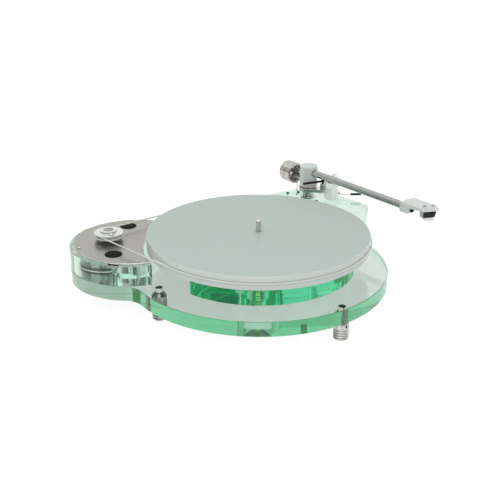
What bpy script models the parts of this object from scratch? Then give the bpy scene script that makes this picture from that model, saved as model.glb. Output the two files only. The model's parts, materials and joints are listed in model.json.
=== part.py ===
"""Belt-drive turntable of clear acrylic with a unipivot tonearm, built piece by piece.

Everything is in metres. The model is laid out round the platter spindle, with the floor at
z = 0, and the finished assembly is then moved so that the origin is the middle of its base.
Plan angles are in degrees, counter-clockwise from +X, which points to the user's right.
"""
import math

import bmesh
import bpy
from mathutils import Matrix, Vector

# Clearances, and how finely round things are cut
SEAT_GAP = 0.0003          # between two pieces that rest on or fit round each other
RUN_GAP = 0.0004           # between a turning piece and what it turns in
OVERRUN = 0.002            # how far a cutter runs past what it cuts
WELD = 0.000001            # points nearer than this are one point
ARC_STEP = math.radians(6.0)
PLATTER_STEPS = 96
ROUND_STEPS = 28
SMALL_STEPS = 16
TINY_STEPS = 8
SMOOTH_ANGLE = math.radians(35.0)

# Heights of the stack
FOOT_HEIGHT = 0.026                # floor to the underside of the lower plinth
LOWER_THICKNESS = 0.020
UPPER_THICKNESS = 0.0237
PLATTER_CLEARANCE = 0.0054
PLATTER_THICKNESS = 0.0186
ACRYLIC_CHAMFER = 0.0006
LOWER_TOP = FOOT_HEIGHT + LOWER_THICKNESS
UPPER_BOTTOM = LOWER_TOP + SEAT_GAP
UPPER_TOP = UPPER_BOTTOM + UPPER_THICKNESS
PLATTER_BOTTOM = UPPER_TOP + PLATTER_CLEARANCE
PLATTER_TOP = PLATTER_BOTTOM + PLATTER_THICKNESS
BELT_HEIGHT = PLATTER_BOTTOM + PLATTER_THICKNESS / 2.0

# Lower plinth: a disc with a lobe for the motor
LOWER_RADIUS = 0.175
LOBE_RADIUS = 0.0857
LOBE_DISTANCE = 0.1701             # spindle to the middle of the lobe
LOBE_ANGLE = 145.2
LOBE_FILLET = 0.030
BEARING_WELL_RADIUS = 0.020

# Upper plinth: a round front that runs out to the tonearm at the rear right
UPPER_RADIUS = 0.1315
UPPER_LEFT_ANGLE = 196.0
UPPER_LEFT_CORNER = 0.008
UPPER_FRONT_RIGHT = (0.2346, 0.0567)
UPPER_FRONT_RIGHT_CORNER = 0.015
UPPER_REAR_RIGHT = (0.2110, 0.1775)
UPPER_REAR_RIGHT_CORNER = 0.050
UPPER_REAR_LEFT_X = 0.118
UPPER_REAR_LEFT_CORNER = 0.014

# Screws in deep counterbores that hold the upper plinth to the lower one
PLINTH_SCREW_PLACES = (("left", 0.111, 226.8), ("right", 0.118, 340.0), ("rear", 0.150, 47.0))
PLINTH_SCREW_RADIUS = 0.0016
PLINTH_SCREW_HEAD = 0.0040
PLINTH_SCREW_HEAD_HEIGHT = 0.0030
PLINTH_SCREW_WELL = 0.0060
PLINTH_SCREW_WELL_DEPTH = 0.0120
PLINTH_SCREW_BITE = 0.012          # how far it reaches into the lower plinth

# Feet
FOOT_PLACES = (("front", 0.1640, 277.0), ("left", 0.1486, 178.5), ("rear", 0.1600, 58.0))
FOOT_STEPS = 14
FOOT_RADIUS = 0.0100
FOOT_STANDOFF = 0.0005
FOOT_TOP_RADIUS = 0.0062
FOOT_TOP_CHAMFER = 0.0040
FOOT_BOTTOM_CHAMFER = 0.0022
FOOT_GROOVE_DEPTH = 0.0010
FOOT_GROOVE_PITCH = 0.0034
FOOT_GROOVE_COUNT = 4
FOOT_GROOVE_START = 0.0042
FOOT_HOLE_RADIUS = 0.0016
FOOT_STUD_RADIUS = 0.0030
FOOT_STUD_LENGTH = 0.0140
FOOT_INSERT_RADIUS = 0.0050
FOOT_INSERT_LENGTH = 0.0165

# Main bearing, open to view through the acrylic
BEARING_FLANGE_RADIUS = 0.0092
BEARING_FLANGE_DEPTH = 0.0055
BEARING_BODY_RADIUS = 0.0070
BEARING_NECK_RADIUS = 0.0040
BEARING_NECK_LENGTH = 0.0166
BEARING_BORE_RADIUS = 0.0044
BEARING_BORE_FLOOR = 0.0030        # above the bearing's shoulder
BEARING_NUT_RADIUS = 0.0072
BEARING_NUT_HEIGHT = 0.0040
HEX_SIDES = 6
BEARING_PLUG_RADIUS = 0.0034
BEARING_PLUG_HEIGHT = 0.0022

# Platter, its hub and its spindle
PLATTER_RADIUS = 0.150
PLATTER_CHAMFER = 0.0007
SPINDLE_RADIUS = 0.00355
SPINDLE_HEIGHT = 0.0165
SPINDLE_TIP = 0.0030
JOURNAL_RADIUS = 0.0040
HUB_RADIUS = 0.0260
HUB_THICKNESS = 0.0038
JOURNAL_POINT = 0.0015

# Motor housing on the lobe, and the steel plate that closes it
HOUSING_HEIGHT = 0.0277
HOUSING_BITE_RADIUS = 0.154        # its inner wall follows the platter
PLATE_RADIUS = 0.080
PLATE_BITE_RADIUS = 0.1545
PLATE_THICKNESS = 0.0017
PLATE_CHAMFER = 0.0003
PLATE_SHAFT_HOLE = 0.0075
POCKET_GAP = 0.0008
MOTOR_CENTRE = (-0.1664, 0.1175)
MOTOR_RADIUS = 0.0215
MOTOR_HEIGHT = 0.0268
MOTOR_WAIST = 0.0012               # how far the can is drawn in between its rims
MOTOR_RIM_HEIGHT = 0.0035
MOTOR_BOSS_RADIUS = 0.0055
MOTOR_BOSS_HEIGHT = 0.0013
MOTOR_SHAFT_RADIUS = 0.0020
CAPACITOR_CENTRE = (-0.1510, 0.0801)
CAPACITOR_RADIUS = 0.0145
CAPACITOR_HEIGHT = 0.0240
CAPACITOR_GROOVE = 0.0008
CAPACITOR_GROOVE_DROP = 0.0035
TERMINAL_CENTRE = (-0.1606, 0.0392)
TERMINAL_SIZE = (0.010, 0.012, 0.0180)
TERMINAL_TURN = 28.0
WIRE_WAY_WIDTH = 0.005
WIRE_WAY_DEPTH = 0.006
DAMPER_PLACES = (("front", -0.1827, 0.0661), ("rear", -0.1227, 0.1504))
DAMPER_RADIUS = 0.0125
DAMPER_LEDGE = 0.0010              # the plate laps this far over the damper's body
DAMPER_DEPTH = 0.0080
DAMPER_CROWN = 0.0010
DAMPER_CROWN_SHARE = 0.7           # of the neck's radius that the flat crown takes
PLATE_SCREW_PLACES = (("front", -0.1656, 0.0292), ("rear", -0.0862, 0.1452), ("left", -0.2125, 0.1105))
PLATE_SCREW_RADIUS = 0.0016
PLATE_SCREW_HEAD = 0.0026
PLATE_SCREW_HEAD_HEIGHT = 0.0010
PLATE_SCREW_BITE = 0.008
SWITCH_ANGLE = 226.3               # seen from the middle of the lobe
SWITCH_SIZE = (0.010, 0.0145, 0.0030)
SWITCH_PROUD = 0.0010              # its front edge past the plate's rim
SWITCH_TRAVEL = 0.0012
SWITCH_RECESS = 0.0030             # finger room in front of it
INLET_ANGLE = 112.0
INLET_RADIUS = 0.0042
INLET_BORE = 0.0022
INLET_DEPTH = 0.0090
INLET_FLANGE_RADIUS = 0.0056
INLET_FLANGE = 0.0010
INLET_WIRE_REACH = 0.036           # from the middle of the lobe, inside the motor's pocket

# Pulley and belt
SPEED_RATIO = 9.0                  # motor turns to one turn of the platter
BELT_RADIUS = 0.0010
BELT_SIDES = 6
BELT_TURN_STEP = math.radians(12.0)
PULLEY_ABOVE_BELT = 0.0039
PULLEY_BELOW_BELT = 0.0026
PULLEY_FLANGE_RADIUS = 0.0203
PULLEY_FLANGE = 0.0020
PULLEY_LIP_RADIUS = 0.0190
PULLEY_LIP = 0.0018
PULLEY_BOSS_RADIUS = 0.0105
PULLEY_BOSS = 0.0034
PULLEY_DISH_RADIUS = 0.0070
PULLEY_DISH_DEPTH = 0.0028
PULLEY_CAP_RADIUS = 0.0065
PULLEY_CAP_HEIGHT = 0.0020
PULLEY_SCREW_RADIUS = 0.0012
PULLEY_SCREW_ANGLE = 285.0

# Tonearm base: pillar through the upper plinth, spike, and the lift's platform
PIVOT = (0.1769, 0.1352)
PIVOT_HEIGHT = 0.018               # of the arm's axis above the platter's top
ARM_AXIS = PLATTER_TOP + PIVOT_HEIGHT
PILLAR_RADIUS = 0.00875
PILLAR_NECK_RADIUS = 0.0055
PILLAR_FLANGE_RADIUS = 0.0120
PILLAR_FLANGE = 0.0025
PILLAR_SHOULDER = 0.0120
PILLAR_THREAD_RADIUS = 0.0075
SPIKE_RADIUS = 0.0025
SPIKE_POINT = 0.0045
PLATFORM_RADIUS = 0.0150
PLATFORM_THICKNESS = 0.0050
PLATFORM_CHAMFER = 0.0004
PLATFORM_EAR_RADIUS = 0.0048
BOARD_SCREW_PLACES = (("left", 0.1589, 0.1651), ("front", 0.1754, 0.1105), ("rear", 0.1756, 0.1596))
BOARD_SCREW_RADIUS = 0.0014
BOARD_SCREW_HEAD = 0.0026
BOARD_SCREW_HEAD_HEIGHT = 0.0018
BOARD_SCREW_BITE = 0.0120

# Lift beside the pivot
LIFT_REACH = 0.0246                # pivot to the lift's piston
LIFT_ANGLE = -61.9
LIFT_CYLINDER_RADIUS = 0.0042
LIFT_CYLINDER_HEIGHT = 0.0090
LIFT_CYLINDER_FLOOR = 0.0012
LIFT_PISTON_RADIUS = 0.0014
LIFT_HEAD_RADIUS = 0.0026
LIFT_HEAD_HEIGHT = 0.0036
LIFT_BAR_RADIUS = 0.0018
LIFT_BAR_DROP = 0.0120             # arm axis down to the bar, lowered
LIFT_BAR_END_REACH = 0.0272
LIFT_BAR_END_ANGLE = -142.2

# Rest post with the cue lever, outboard of the arm
POST_REACH = 0.0280                # along the parked arm, from the pivot
POST_OUT = 0.0230                  # outboard of the arm's axis
POST_SIZE = 0.0160
POST_CHAMFER = 0.0008
POST_DROP = 0.0125                 # arm axis down to the post's top
REST_REACH = 0.0500
REST_WIDTH = 0.0080
REST_INNER = 0.0070
REST_CHAMFER = 0.0005
HORN_GAP = 0.0008                  # between the parked tube and the horn
HORN_WALL = 0.0050
HORN_RISE = 0.0070                 # above the arm's axis
CUE_HEIGHT = 0.0080                # of its shaft above the upper plinth
CUE_REACH = 0.0320
CUE_SHAFT_RADIUS = 0.0015
CUE_SHAFT_LENGTH = 0.0080
CUE_HUB_RADIUS = 0.0032
CUE_HUB_LENGTH = 0.0040
CUE_ROD_RADIUS = 0.0008
CUE_ELBOW = 0.0075                 # hub's middle to the bend
CUE_ROD_LENGTH = 0.0290            # bend to tip
CUE_ROD_ANGLE = 54.5               # outboard of the arm's own direction
CUE_GRIP_RADIUS = 0.0019
CUE_GRIP_LENGTH = 0.0165
CUE_GRIP_BORE_DEPTH = 0.0150

# Tonearm: cup, housing and tube
ARM_HEADING = -83.5                # parked: almost straight to the front
CUP_RADIUS = 0.0044
CUP_MOUTH_RADIUS = 0.0026
CUP_MOUTH_DEPTH = 0.0020
ARM_HOUSING_RADIUS = 0.0137
ARM_HOUSING_RISE = 0.0100
ARM_HOUSING_SKIRT = 0.0220
ARM_HOUSING_BORE = 0.0090
ARM_HOUSING_LIP = 0.0008           # the bore's roof above the arm's axis
ARM_HOUSING_CHAMFER = 0.0018
ARM_HOUSING_CROWN = 0.0006
ARM_DIMPLE_RADIUS = 0.0012
ARM_DIMPLE_DEPTH = 0.0010
ARM_TUBE_RADIUS = 0.00525
ARM_TUBE_WALL = 0.0008
ARM_TUBE_END = 0.2060

# Headshell and cartridge
HEAD_OFFSET = -26.0                # the cartridge turns this far inboard
HEAD_START = 0.1960
HEAD_CLAMP_LENGTH = 0.0160
HEAD_INNER = 0.0070
HEAD_OUTER = 0.0210
HEAD_OUTER_END = 0.2390
HEAD_NOSE = (0.2362, -0.0042)
HEAD_FRONT = 0.0235                # width of the front edge
HEAD_RISE = 0.0070                 # top face above the arm's axis
HEAD_THICKNESS = 0.0050
HEAD_CLAMP_DROP = 0.0068
HEAD_CLAMP_INSET = 0.0004
HEAD_CHAMFER = 0.0005
HEAD_CORNER = 0.0020
GROMMET_RADIUS = 0.0030
GROMMET_LENGTH = 0.0025
GROMMET_DROP = 0.0026
BOLT_MIDDLE = (0.2333, 0.0110)
BOLT_SPACING = 0.0127
BOLT_RADIUS = 0.0012
BOLT_HEAD_RADIUS = 0.0022
BOLT_HEAD_HEIGHT = 0.0014
BOLT_BITE = 0.0025
FRAME_WIDTH = 0.0166
FRAME_TOP = 0.0032
FRAME_CHEEK = 0.0017
FRAME_HEIGHT = 0.0122
FRAME_BACK = 0.0100                # behind the bolts
FRAME_FRONT = 0.0022               # ahead of the bolts
BODY_FRONT = 0.0062
BODY_NOSE = 0.0012                 # the front's belly past its top edge
BODY_NOSE_DROP = 0.0030
BODY_CHIN = 0.0020                 # how far the front's foot is drawn back
BODY_HEIGHT = 0.0095
GUARD_HEIGHT = 0.0032
GUARD_BACK = 0.0080
GUARD_SLOPE = 0.0016
STYLUS_REACH = 0.0099              # bolts to the stylus
STYLUS_DROP = 0.0160               # underside of the headshell to the stylus
CANTILEVER_RADIUS = 0.00045
STYLUS_TIP_LENGTH = 0.0009
STYLUS_POINT_SHARE = 0.8           # of the cantilever's radius that the point's base takes

# Counterweight
STUB_RADIUS = 0.0030
STUB_DROP = 0.0075
STUB_END = 0.0500
WEIGHT_RADIUS = 0.0160
WEIGHT_LENGTH = 0.0225
WEIGHT_START = 0.0290
WEIGHT_DROP = 0.0105
WEIGHT_RECESS_RADIUS = 0.0125
WEIGHT_RECESS_DEPTH = 0.0110
WEIGHT_CHAMFER = 0.0010

# Thread guide behind the pivot
GUIDE_PLACE = (0.1685, 0.1538)
GUIDE_RADIUS = 0.0006
GUIDE_HEIGHT = 0.0200
GUIDE_FOOT_RADIUS = 0.0020
GUIDE_FOOT_HEIGHT = 0.0014
GUIDE_KNOB_RADIUS = 0.0012
GUIDE_KNOB_HEIGHT = 0.0016

def finish(name, colour, roughness, metallic=0.0, transmission=0.0):
    """One finish, as a Principled BSDF."""
    material = bpy.data.materials.new(name)
    material.use_nodes = True
    shader = material.node_tree.nodes["Principled BSDF"]
    shader.inputs["Base Color"].default_value = (*colour, 1.0)
    shader.inputs["Roughness"].default_value = roughness
    shader.inputs["Metallic"].default_value = metallic
    shader.inputs["Transmission Weight"].default_value = transmission
    return material

def finishes():
    """Every finish on the turntable, by name."""
    return {
        "clear": finish("clear_acrylic", (0.62, 0.86, 0.74), 0.05, transmission=0.9),
        "frosted": finish("frosted_acrylic", (0.49, 0.57, 0.52), 0.55, transmission=0.3),
        "steel": finish("polished_steel", (0.62, 0.61, 0.58), 0.18, metallic=1.0),
        "brushed": finish("brushed_plate", (0.36, 0.34, 0.31), 0.38, metallic=1.0),
        "aluminium": finish("satin_aluminium", (0.52, 0.55, 0.53), 0.35, metallic=1.0),
        "brass": finish("brass", (0.60, 0.48, 0.20), 0.25, metallic=1.0),
        "black": finish("black_rubber", (0.012, 0.012, 0.012), 0.60),
        "dark": finish("dark_plastic", (0.09, 0.10, 0.11), 0.45),
        "white": finish("white_plastic", (0.76, 0.77, 0.74), 0.40),
        "belt": finish("belt_rubber", (0.58, 0.62, 0.58), 0.50),
    }

def polar(radius, degrees, centre=(0.0, 0.0)):
    """The plan point at a radius and an angle from a centre."""
    angle = math.radians(degrees)
    return (centre[0] + radius * math.cos(angle), centre[1] + radius * math.sin(angle))

def bearing_of(point, centre=(0.0, 0.0)):
    """The angle in degrees at which a point is seen from a centre."""
    return math.degrees(math.atan2(point[1] - centre[1], point[0] - centre[0]))

def axis_empty(name, place, parent, heading=0.0):
    """An empty on a joint's axis, turned in plan to a heading in degrees."""
    empty = bpy.data.objects.new(name, None)
    bpy.context.scene.collection.objects.link(empty)
    empty.parent = parent
    empty.location = place
    empty.rotation_euler = (0.0, 0.0, math.radians(heading))
    return empty

def piece(name, shape, material, parent):
    """Turns a finished bmesh into a named object with one finish."""
    bmesh.ops.remove_doubles(shape, verts=shape.verts, dist=WELD)
    bmesh.ops.recalc_face_normals(shape, faces=shape.faces)
    mesh = bpy.data.meshes.new(name)
    shape.to_mesh(mesh)
    shape.free()
    mesh.materials.append(material)
    mesh.shade_smooth()
    mesh.set_sharp_from_angle(angle=SMOOTH_ANGLE)
    thing = bpy.data.objects.new(name, mesh)
    bpy.context.scene.collection.objects.link(thing)
    thing.parent = parent
    return thing

def boolean(target, shape, name, operation="DIFFERENCE"):
    """Cuts a bmesh out of a piece, or joins it on, and keeps it as a hidden cutter."""
    cutter = piece(name, shape, target.data.materials[0], target.parent)
    cutter.hide_render = True
    cutter.display_type = "WIRE"
    modifier = target.modifiers.new(name, "BOOLEAN")
    modifier.operation = operation
    modifier.solver = "EXACT"
    modifier.object = cutter

def lathe(shape, profile, place=Matrix(), steps=ROUND_STEPS, ring=False):
    """Adds a turned solid: a profile of (radius, height) spun round Z, then placed.

    A plain profile starts and ends on the axis. A ring's profile closes on itself.
    """
    points = [shape.verts.new((radius, 0.0, height)) for radius, height in profile]
    edges = [shape.edges.new(pair) for pair in zip(points, points[1:])]
    if ring:
        edges.append(shape.edges.new((points[-1], points[0])))
    before = set(shape.verts) - set(points)
    bmesh.ops.spin(shape, geom=points + edges, cent=(0.0, 0.0, 0.0), axis=(0.0, 0.0, 1.0),
                   angle=math.tau, steps=steps, use_merge=True)
    spun = [vert for vert in shape.verts if vert not in before]
    bmesh.ops.remove_doubles(shape, verts=spun, dist=WELD)
    spun = [vert for vert in shape.verts if vert not in before]
    bmesh.ops.transform(shape, matrix=place, verts=spun)
    return shape

def rod(radius, low, high):
    """The profile of a plain round bar."""
    return [(0.0, low), (radius, low), (radius, high), (0.0, high)]

def pipe(outer, inner, low, high):
    """The closed profile of a tube."""
    return [(inner, low), (outer, low), (outer, high), (inner, high)]

def stepped(*steps):
    """The profile of a stack of round bars: each step is a radius and its low and high end."""
    profile = [(0.0, steps[0][1])]
    for radius, low, high in steps:
        profile += [(radius, low), (radius, high)]
    profile.append((0.0, steps[-1][2]))
    return profile

def at(x, y, z=0.0):
    """A move without a turn."""
    return Matrix.Translation((x, y, z))

def along(start, direction):
    """Stands Z along a direction, at a start point."""
    turn = Vector(direction).to_track_quat("Z", "Y").to_matrix().to_4x4()
    return Matrix.Translation(start) @ turn

def extrude(shape, outline, low, high, chamfer=0.0, place=Matrix()):
    """Adds a plan outline as an upright slab, with its two rims chamfered."""
    before = set(shape.verts)
    base = shape.faces.new([shape.verts.new((x, y, low)) for x, y in outline])
    grown = bmesh.ops.extrude_face_region(shape, geom=[base])["geom"]
    lid = [item for item in grown if isinstance(item, bmesh.types.BMVert)]
    bmesh.ops.translate(shape, verts=lid, vec=(0.0, 0.0, high - low))
    slab = [vert for vert in shape.verts if vert not in before]
    if chamfer:
        own = set(slab)
        rims = [edge for edge in shape.edges if set(edge.verts) <= own
                and edge.verts[0].co.z == edge.verts[1].co.z]
        bmesh.ops.bevel(shape, geom=rims, offset=chamfer, segments=1, affect="EDGES",
                        clamp_overlap=True)
        slab = [vert for vert in shape.verts if vert not in before]
    bmesh.ops.transform(shape, matrix=place, verts=slab)
    return shape

def block(shape, low, high, place=Matrix(), chamfer=0.0):
    """Adds a box between two corners."""
    outline = [(low[0], low[1]), (high[0], low[1]), (high[0], high[1]), (low[0], high[1])]
    return extrude(shape, outline, low[2], high[2], chamfer, place)

def hexagon(radius):
    """A nut's outline, by its corner radius."""
    return [polar(radius, 360.0 * side / HEX_SIDES) for side in range(HEX_SIDES)]

def sweep(shape, path, radius, sides=TINY_STEPS, closed=False):
    """Adds a round tube along a path of points, with flat ends unless it closes on itself."""
    rings = []
    count = len(path)
    for index, point in enumerate(path):
        before = path[index - 1] if index or closed else point
        after = path[(index + 1) % count] if index < count - 1 or closed else point
        heading = (Vector(after) - Vector(before)).normalized()
        side = heading.cross(Vector((0.0, 0.0, 1.0))).normalized()
        lift = side.cross(heading)
        turns = [math.tau * step / sides for step in range(sides)]
        rings.append([shape.verts.new(Vector(point) + radius * (side * math.cos(turn)
                                                                + lift * math.sin(turn)))
                      for turn in turns])
    pairs = list(zip(rings, rings[1:]))
    if closed:
        pairs.append((rings[-1], rings[0]))
    for one, two in pairs:
        for step in range(sides):
            ahead = (step + 1) % sides
            shape.faces.new((one[step], one[ahead], two[ahead], two[step]))
    if not closed:
        shape.faces.new(rings[0])
        shape.faces.new(rings[-1])
    return shape

def arc(centre, radius, start, end, step=ARC_STEP):
    """Points along an arc, from one angle in degrees to another, both ends included."""
    count = max(2, math.ceil(abs(math.radians(end - start)) / step))
    return [polar(radius, start + (end - start) * index / count, centre)
            for index in range(count + 1)]

def short_arc(centre, radius, first, last, step=ARC_STEP):
    """The shorter arc round a centre between the directions of two points."""
    start = bearing_of(first, centre)
    turn = (bearing_of(last, centre) - start + 180.0) % 360.0 - 180.0
    return arc(centre, radius, start, start + turn, step)

def circles_meet(one, radius_one, two, radius_two):
    """The two points where two circles cross, the one left of one-to-two first."""
    apart = math.dist(one, two)
    reach = (radius_one ** 2 - radius_two ** 2 + apart ** 2) / (2.0 * apart)
    half = math.sqrt(radius_one ** 2 - reach ** 2)
    unit = ((two[0] - one[0]) / apart, (two[1] - one[1]) / apart)
    foot = (one[0] + unit[0] * reach, one[1] + unit[1] * reach)
    return ((foot[0] - unit[1] * half, foot[1] + unit[0] * half),
            (foot[0] + unit[1] * half, foot[1] - unit[0] * half))

def fillet_corner(before, here, after, radius):
    """The arc that rounds a corner between two straight edges."""
    corner = Vector(here)
    back = (Vector(before) - corner).normalized()
    ahead = (Vector(after) - corner).normalized()
    half = back.angle(ahead) / 2.0
    centre = corner + (back + ahead).normalized() * (radius / math.sin(half))
    first = corner + back * (radius / math.tan(half))
    last = corner + ahead * (radius / math.tan(half))
    return short_arc(tuple(centre), radius, first, last, 2.0 * ARC_STEP)

def rounded(corners):
    """An outline of (x, y, fillet radius) corners; a corner without a radius stays sharp."""
    outline = []
    for index, (x, y, radius) in enumerate(corners):
        before = corners[index - 1][:2]
        after = corners[(index + 1) % len(corners)][:2]
        outline += fillet_corner(before, (x, y), after, radius) if radius else [(x, y)]
    return outline

def lobe_centre():
    """The middle of the motor's lobe in plan."""
    return polar(LOBE_DISTANCE, LOBE_ANGLE)

def crescent(outer_radius, bite_radius):
    """The lobe's disc with the platter's circle bitten out of it."""
    centre = lobe_centre()
    front, rear = circles_meet((0.0, 0.0), bite_radius, centre, outer_radius)
    start = bearing_of(rear, centre)
    turn = (bearing_of(front, centre) - start) % 360.0
    outer = arc(centre, outer_radius, start, start + turn)
    inner = short_arc((0.0, 0.0), bite_radius, front, rear)
    return outer + inner[1:-1]

def lower_outline():
    """The lower plinth in plan: the disc and the lobe, joined by two concave fillets."""
    lobe = lobe_centre()
    middle = (0.0, 0.0)
    front, rear = circles_meet(middle, LOWER_RADIUS + LOBE_FILLET, lobe, LOBE_RADIUS + LOBE_FILLET)
    disc_start = bearing_of(front)
    disc_turn = (bearing_of(rear) - disc_start) % 360.0
    disc = arc(middle, LOWER_RADIUS, disc_start, disc_start + disc_turn)
    nose_start = bearing_of(rear, lobe)
    nose_turn = (bearing_of(front, lobe) - nose_start) % 360.0
    nose = arc(lobe, LOBE_RADIUS, nose_start, nose_start + nose_turn)
    rear_fillet = short_arc(rear, LOBE_FILLET, middle, lobe, 2.0 * ARC_STEP)
    front_fillet = short_arc(front, LOBE_FILLET, lobe, middle, 2.0 * ARC_STEP)
    return disc + rear_fillet[1:-1] + nose + front_fillet[1:-1]

def upper_outline():
    """The upper plinth in plan: a round front, running straight out to the tonearm."""
    rear_left = (UPPER_REAR_LEFT_X, UPPER_REAR_RIGHT[1])
    run = (Vector(polar(UPPER_RADIUS, UPPER_LEFT_ANGLE)) - Vector(rear_left)).normalized()
    inward = Vector((-run.y, run.x))
    shift = UPPER_LEFT_CORNER + Vector(rear_left).dot(inward)
    ahead = math.sqrt((UPPER_RADIUS - UPPER_LEFT_CORNER) ** 2 - shift ** 2)
    centre = inward * shift + run * ahead
    corner = short_arc(tuple(centre), UPPER_LEFT_CORNER, centre - inward, centre * 2.0)
    reach = math.hypot(*UPPER_FRONT_RIGHT)
    tangent = bearing_of(UPPER_FRONT_RIGHT) - math.degrees(math.acos(UPPER_RADIUS / reach))
    start = bearing_of(centre)
    front = arc((0.0, 0.0), UPPER_RADIUS, start, start + (tangent - start) % 360.0)
    edge = front[-1]
    sides = (fillet_corner(edge, UPPER_FRONT_RIGHT, UPPER_REAR_RIGHT, UPPER_FRONT_RIGHT_CORNER)
             + fillet_corner(UPPER_FRONT_RIGHT, UPPER_REAR_RIGHT, rear_left, UPPER_REAR_RIGHT_CORNER)
             + fillet_corner(UPPER_REAR_RIGHT, rear_left, corner[0], UPPER_REAR_LEFT_CORNER))
    return corner + front[1:] + sides

def build_lower_plinth(parent, clear):
    """The lower plinth, with its bearing well and its screw holes."""
    shape = extrude(bmesh.new(), lower_outline(), FOOT_HEIGHT, LOWER_TOP, ACRYLIC_CHAMFER)
    plinth = piece("lower_plinth", shape, clear, parent)
    top = LOWER_TOP + OVERRUN
    holes = lathe(bmesh.new(), rod(BEARING_WELL_RADIUS, FOOT_HEIGHT - OVERRUN, top))
    for _name, radius, angle in PLINTH_SCREW_PLACES:
        lathe(holes, rod(PLINTH_SCREW_RADIUS + SEAT_GAP, LOWER_TOP - PLINTH_SCREW_BITE - SEAT_GAP, top),
              at(*polar(radius, angle)), TINY_STEPS)
    for _name, radius, angle in FOOT_PLACES:
        lathe(holes, rod(FOOT_INSERT_RADIUS + SEAT_GAP, FOOT_HEIGHT - OVERRUN,
                         FOOT_HEIGHT + FOOT_INSERT_LENGTH + SEAT_GAP),
              at(*polar(radius, angle)), SMALL_STEPS)
    for _name, *place in PLATE_SCREW_PLACES:
        lathe(holes, rod(PLATE_SCREW_RADIUS + SEAT_GAP, LOWER_TOP - PLATE_SCREW_BITE - SEAT_GAP, top),
              at(*place), TINY_STEPS)
    boolean(plinth, holes, "lower_plinth_holes")

def build_upper_plinth(parent, clear):
    """The upper plinth, counterbored for the bearing and for the screws that hold it down."""
    shape = extrude(bmesh.new(), upper_outline(), UPPER_BOTTOM, UPPER_TOP, ACRYLIC_CHAMFER)
    plinth = piece("upper_plinth", shape, clear, parent)
    low = UPPER_BOTTOM - OVERRUN
    top = UPPER_TOP + OVERRUN
    shoulder = UPPER_TOP - BEARING_FLANGE_DEPTH - SEAT_GAP
    holes = lathe(bmesh.new(), stepped((BEARING_BODY_RADIUS + SEAT_GAP, low, shoulder),
                                       (BEARING_FLANGE_RADIUS + SEAT_GAP, shoulder, top)))
    for _name, radius, angle in PLINTH_SCREW_PLACES:
        floor = UPPER_TOP - PLINTH_SCREW_WELL_DEPTH
        lathe(holes, stepped((PLINTH_SCREW_RADIUS + SEAT_GAP, low, floor),
                             (PLINTH_SCREW_WELL, floor, top)), at(*polar(radius, angle)), SMALL_STEPS)
    lathe(holes, rod(PILLAR_THREAD_RADIUS + SEAT_GAP, low, top), at(*PIVOT), SMALL_STEPS)
    for _name, *place in BOARD_SCREW_PLACES:
        lathe(holes, rod(BOARD_SCREW_RADIUS + SEAT_GAP, UPPER_TOP - BOARD_SCREW_BITE - SEAT_GAP, top),
              at(*place), TINY_STEPS)
    boolean(plinth, holes, "upper_plinth_holes")

def build_plinth_screws(parent, steel):
    """The screws that hold the upper plinth down, their heads deep in its counterbores."""
    seat = UPPER_TOP - PLINTH_SCREW_WELL_DEPTH + SEAT_GAP
    profile = stepped((PLINTH_SCREW_RADIUS, LOWER_TOP - PLINTH_SCREW_BITE, seat),
                      (PLINTH_SCREW_HEAD, seat, seat + PLINTH_SCREW_HEAD_HEIGHT))
    for name, radius, angle in PLINTH_SCREW_PLACES:
        shape = lathe(bmesh.new(), profile, at(*polar(radius, angle)), SMALL_STEPS)
        piece(f"plinth_screw_{name}", shape, steel, parent)

def foot_profile():
    """A turned foot: chamfered base, grooves, a plain band and a coned top on its stud."""
    top = FOOT_HEIGHT - FOOT_STANDOFF
    inset = FOOT_RADIUS - FOOT_GROOVE_DEPTH
    half = FOOT_GROOVE_PITCH / 4.0
    profile = [(0.0, 0.0), (FOOT_RADIUS - FOOT_BOTTOM_CHAMFER, 0.0), (FOOT_RADIUS, FOOT_BOTTOM_CHAMFER)]
    for index in range(FOOT_GROOVE_COUNT):
        middle = FOOT_GROOVE_START + FOOT_GROOVE_PITCH * index
        profile += [(FOOT_RADIUS, middle - half), (inset, middle), (FOOT_RADIUS, middle + half)]
    profile += [(FOOT_RADIUS, top - FOOT_TOP_CHAMFER), (FOOT_TOP_RADIUS, top), (FOOT_STUD_RADIUS, top),
                (FOOT_STUD_RADIUS, top + FOOT_STUD_LENGTH), (0.0, top + FOOT_STUD_LENGTH)]
    return profile

def build_feet(parent, steel, brass):
    """Three levelling feet on studs, and the threaded inserts that they screw into."""
    drill_height = FOOT_HEIGHT - FOOT_STANDOFF - FOOT_TOP_CHAMFER - FOOT_HOLE_RADIUS
    for name, radius, angle in FOOT_PLACES:
        place = polar(radius, angle)
        insert = pipe(FOOT_INSERT_RADIUS, FOOT_STUD_RADIUS + SEAT_GAP, FOOT_HEIGHT,
                      FOOT_HEIGHT + FOOT_INSERT_LENGTH)
        piece(f"foot_insert_{name}", lathe(bmesh.new(), insert, at(*place), SMALL_STEPS, ring=True),
              brass, parent)
        axis = axis_empty(f"foot_axis_{name}", (*place, 0.0), parent, angle)
        foot = piece(f"foot_{name}", lathe(bmesh.new(), foot_profile(), steps=FOOT_STEPS), steel, axis)
        drill = lathe(bmesh.new(), rod(FOOT_HOLE_RADIUS, 0.0, FOOT_RADIUS + OVERRUN),
                      along((0.0, 0.0, drill_height), (1.0, 0.0, 0.0)), TINY_STEPS)
        boolean(foot, drill, f"foot_drill_{name}")

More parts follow.
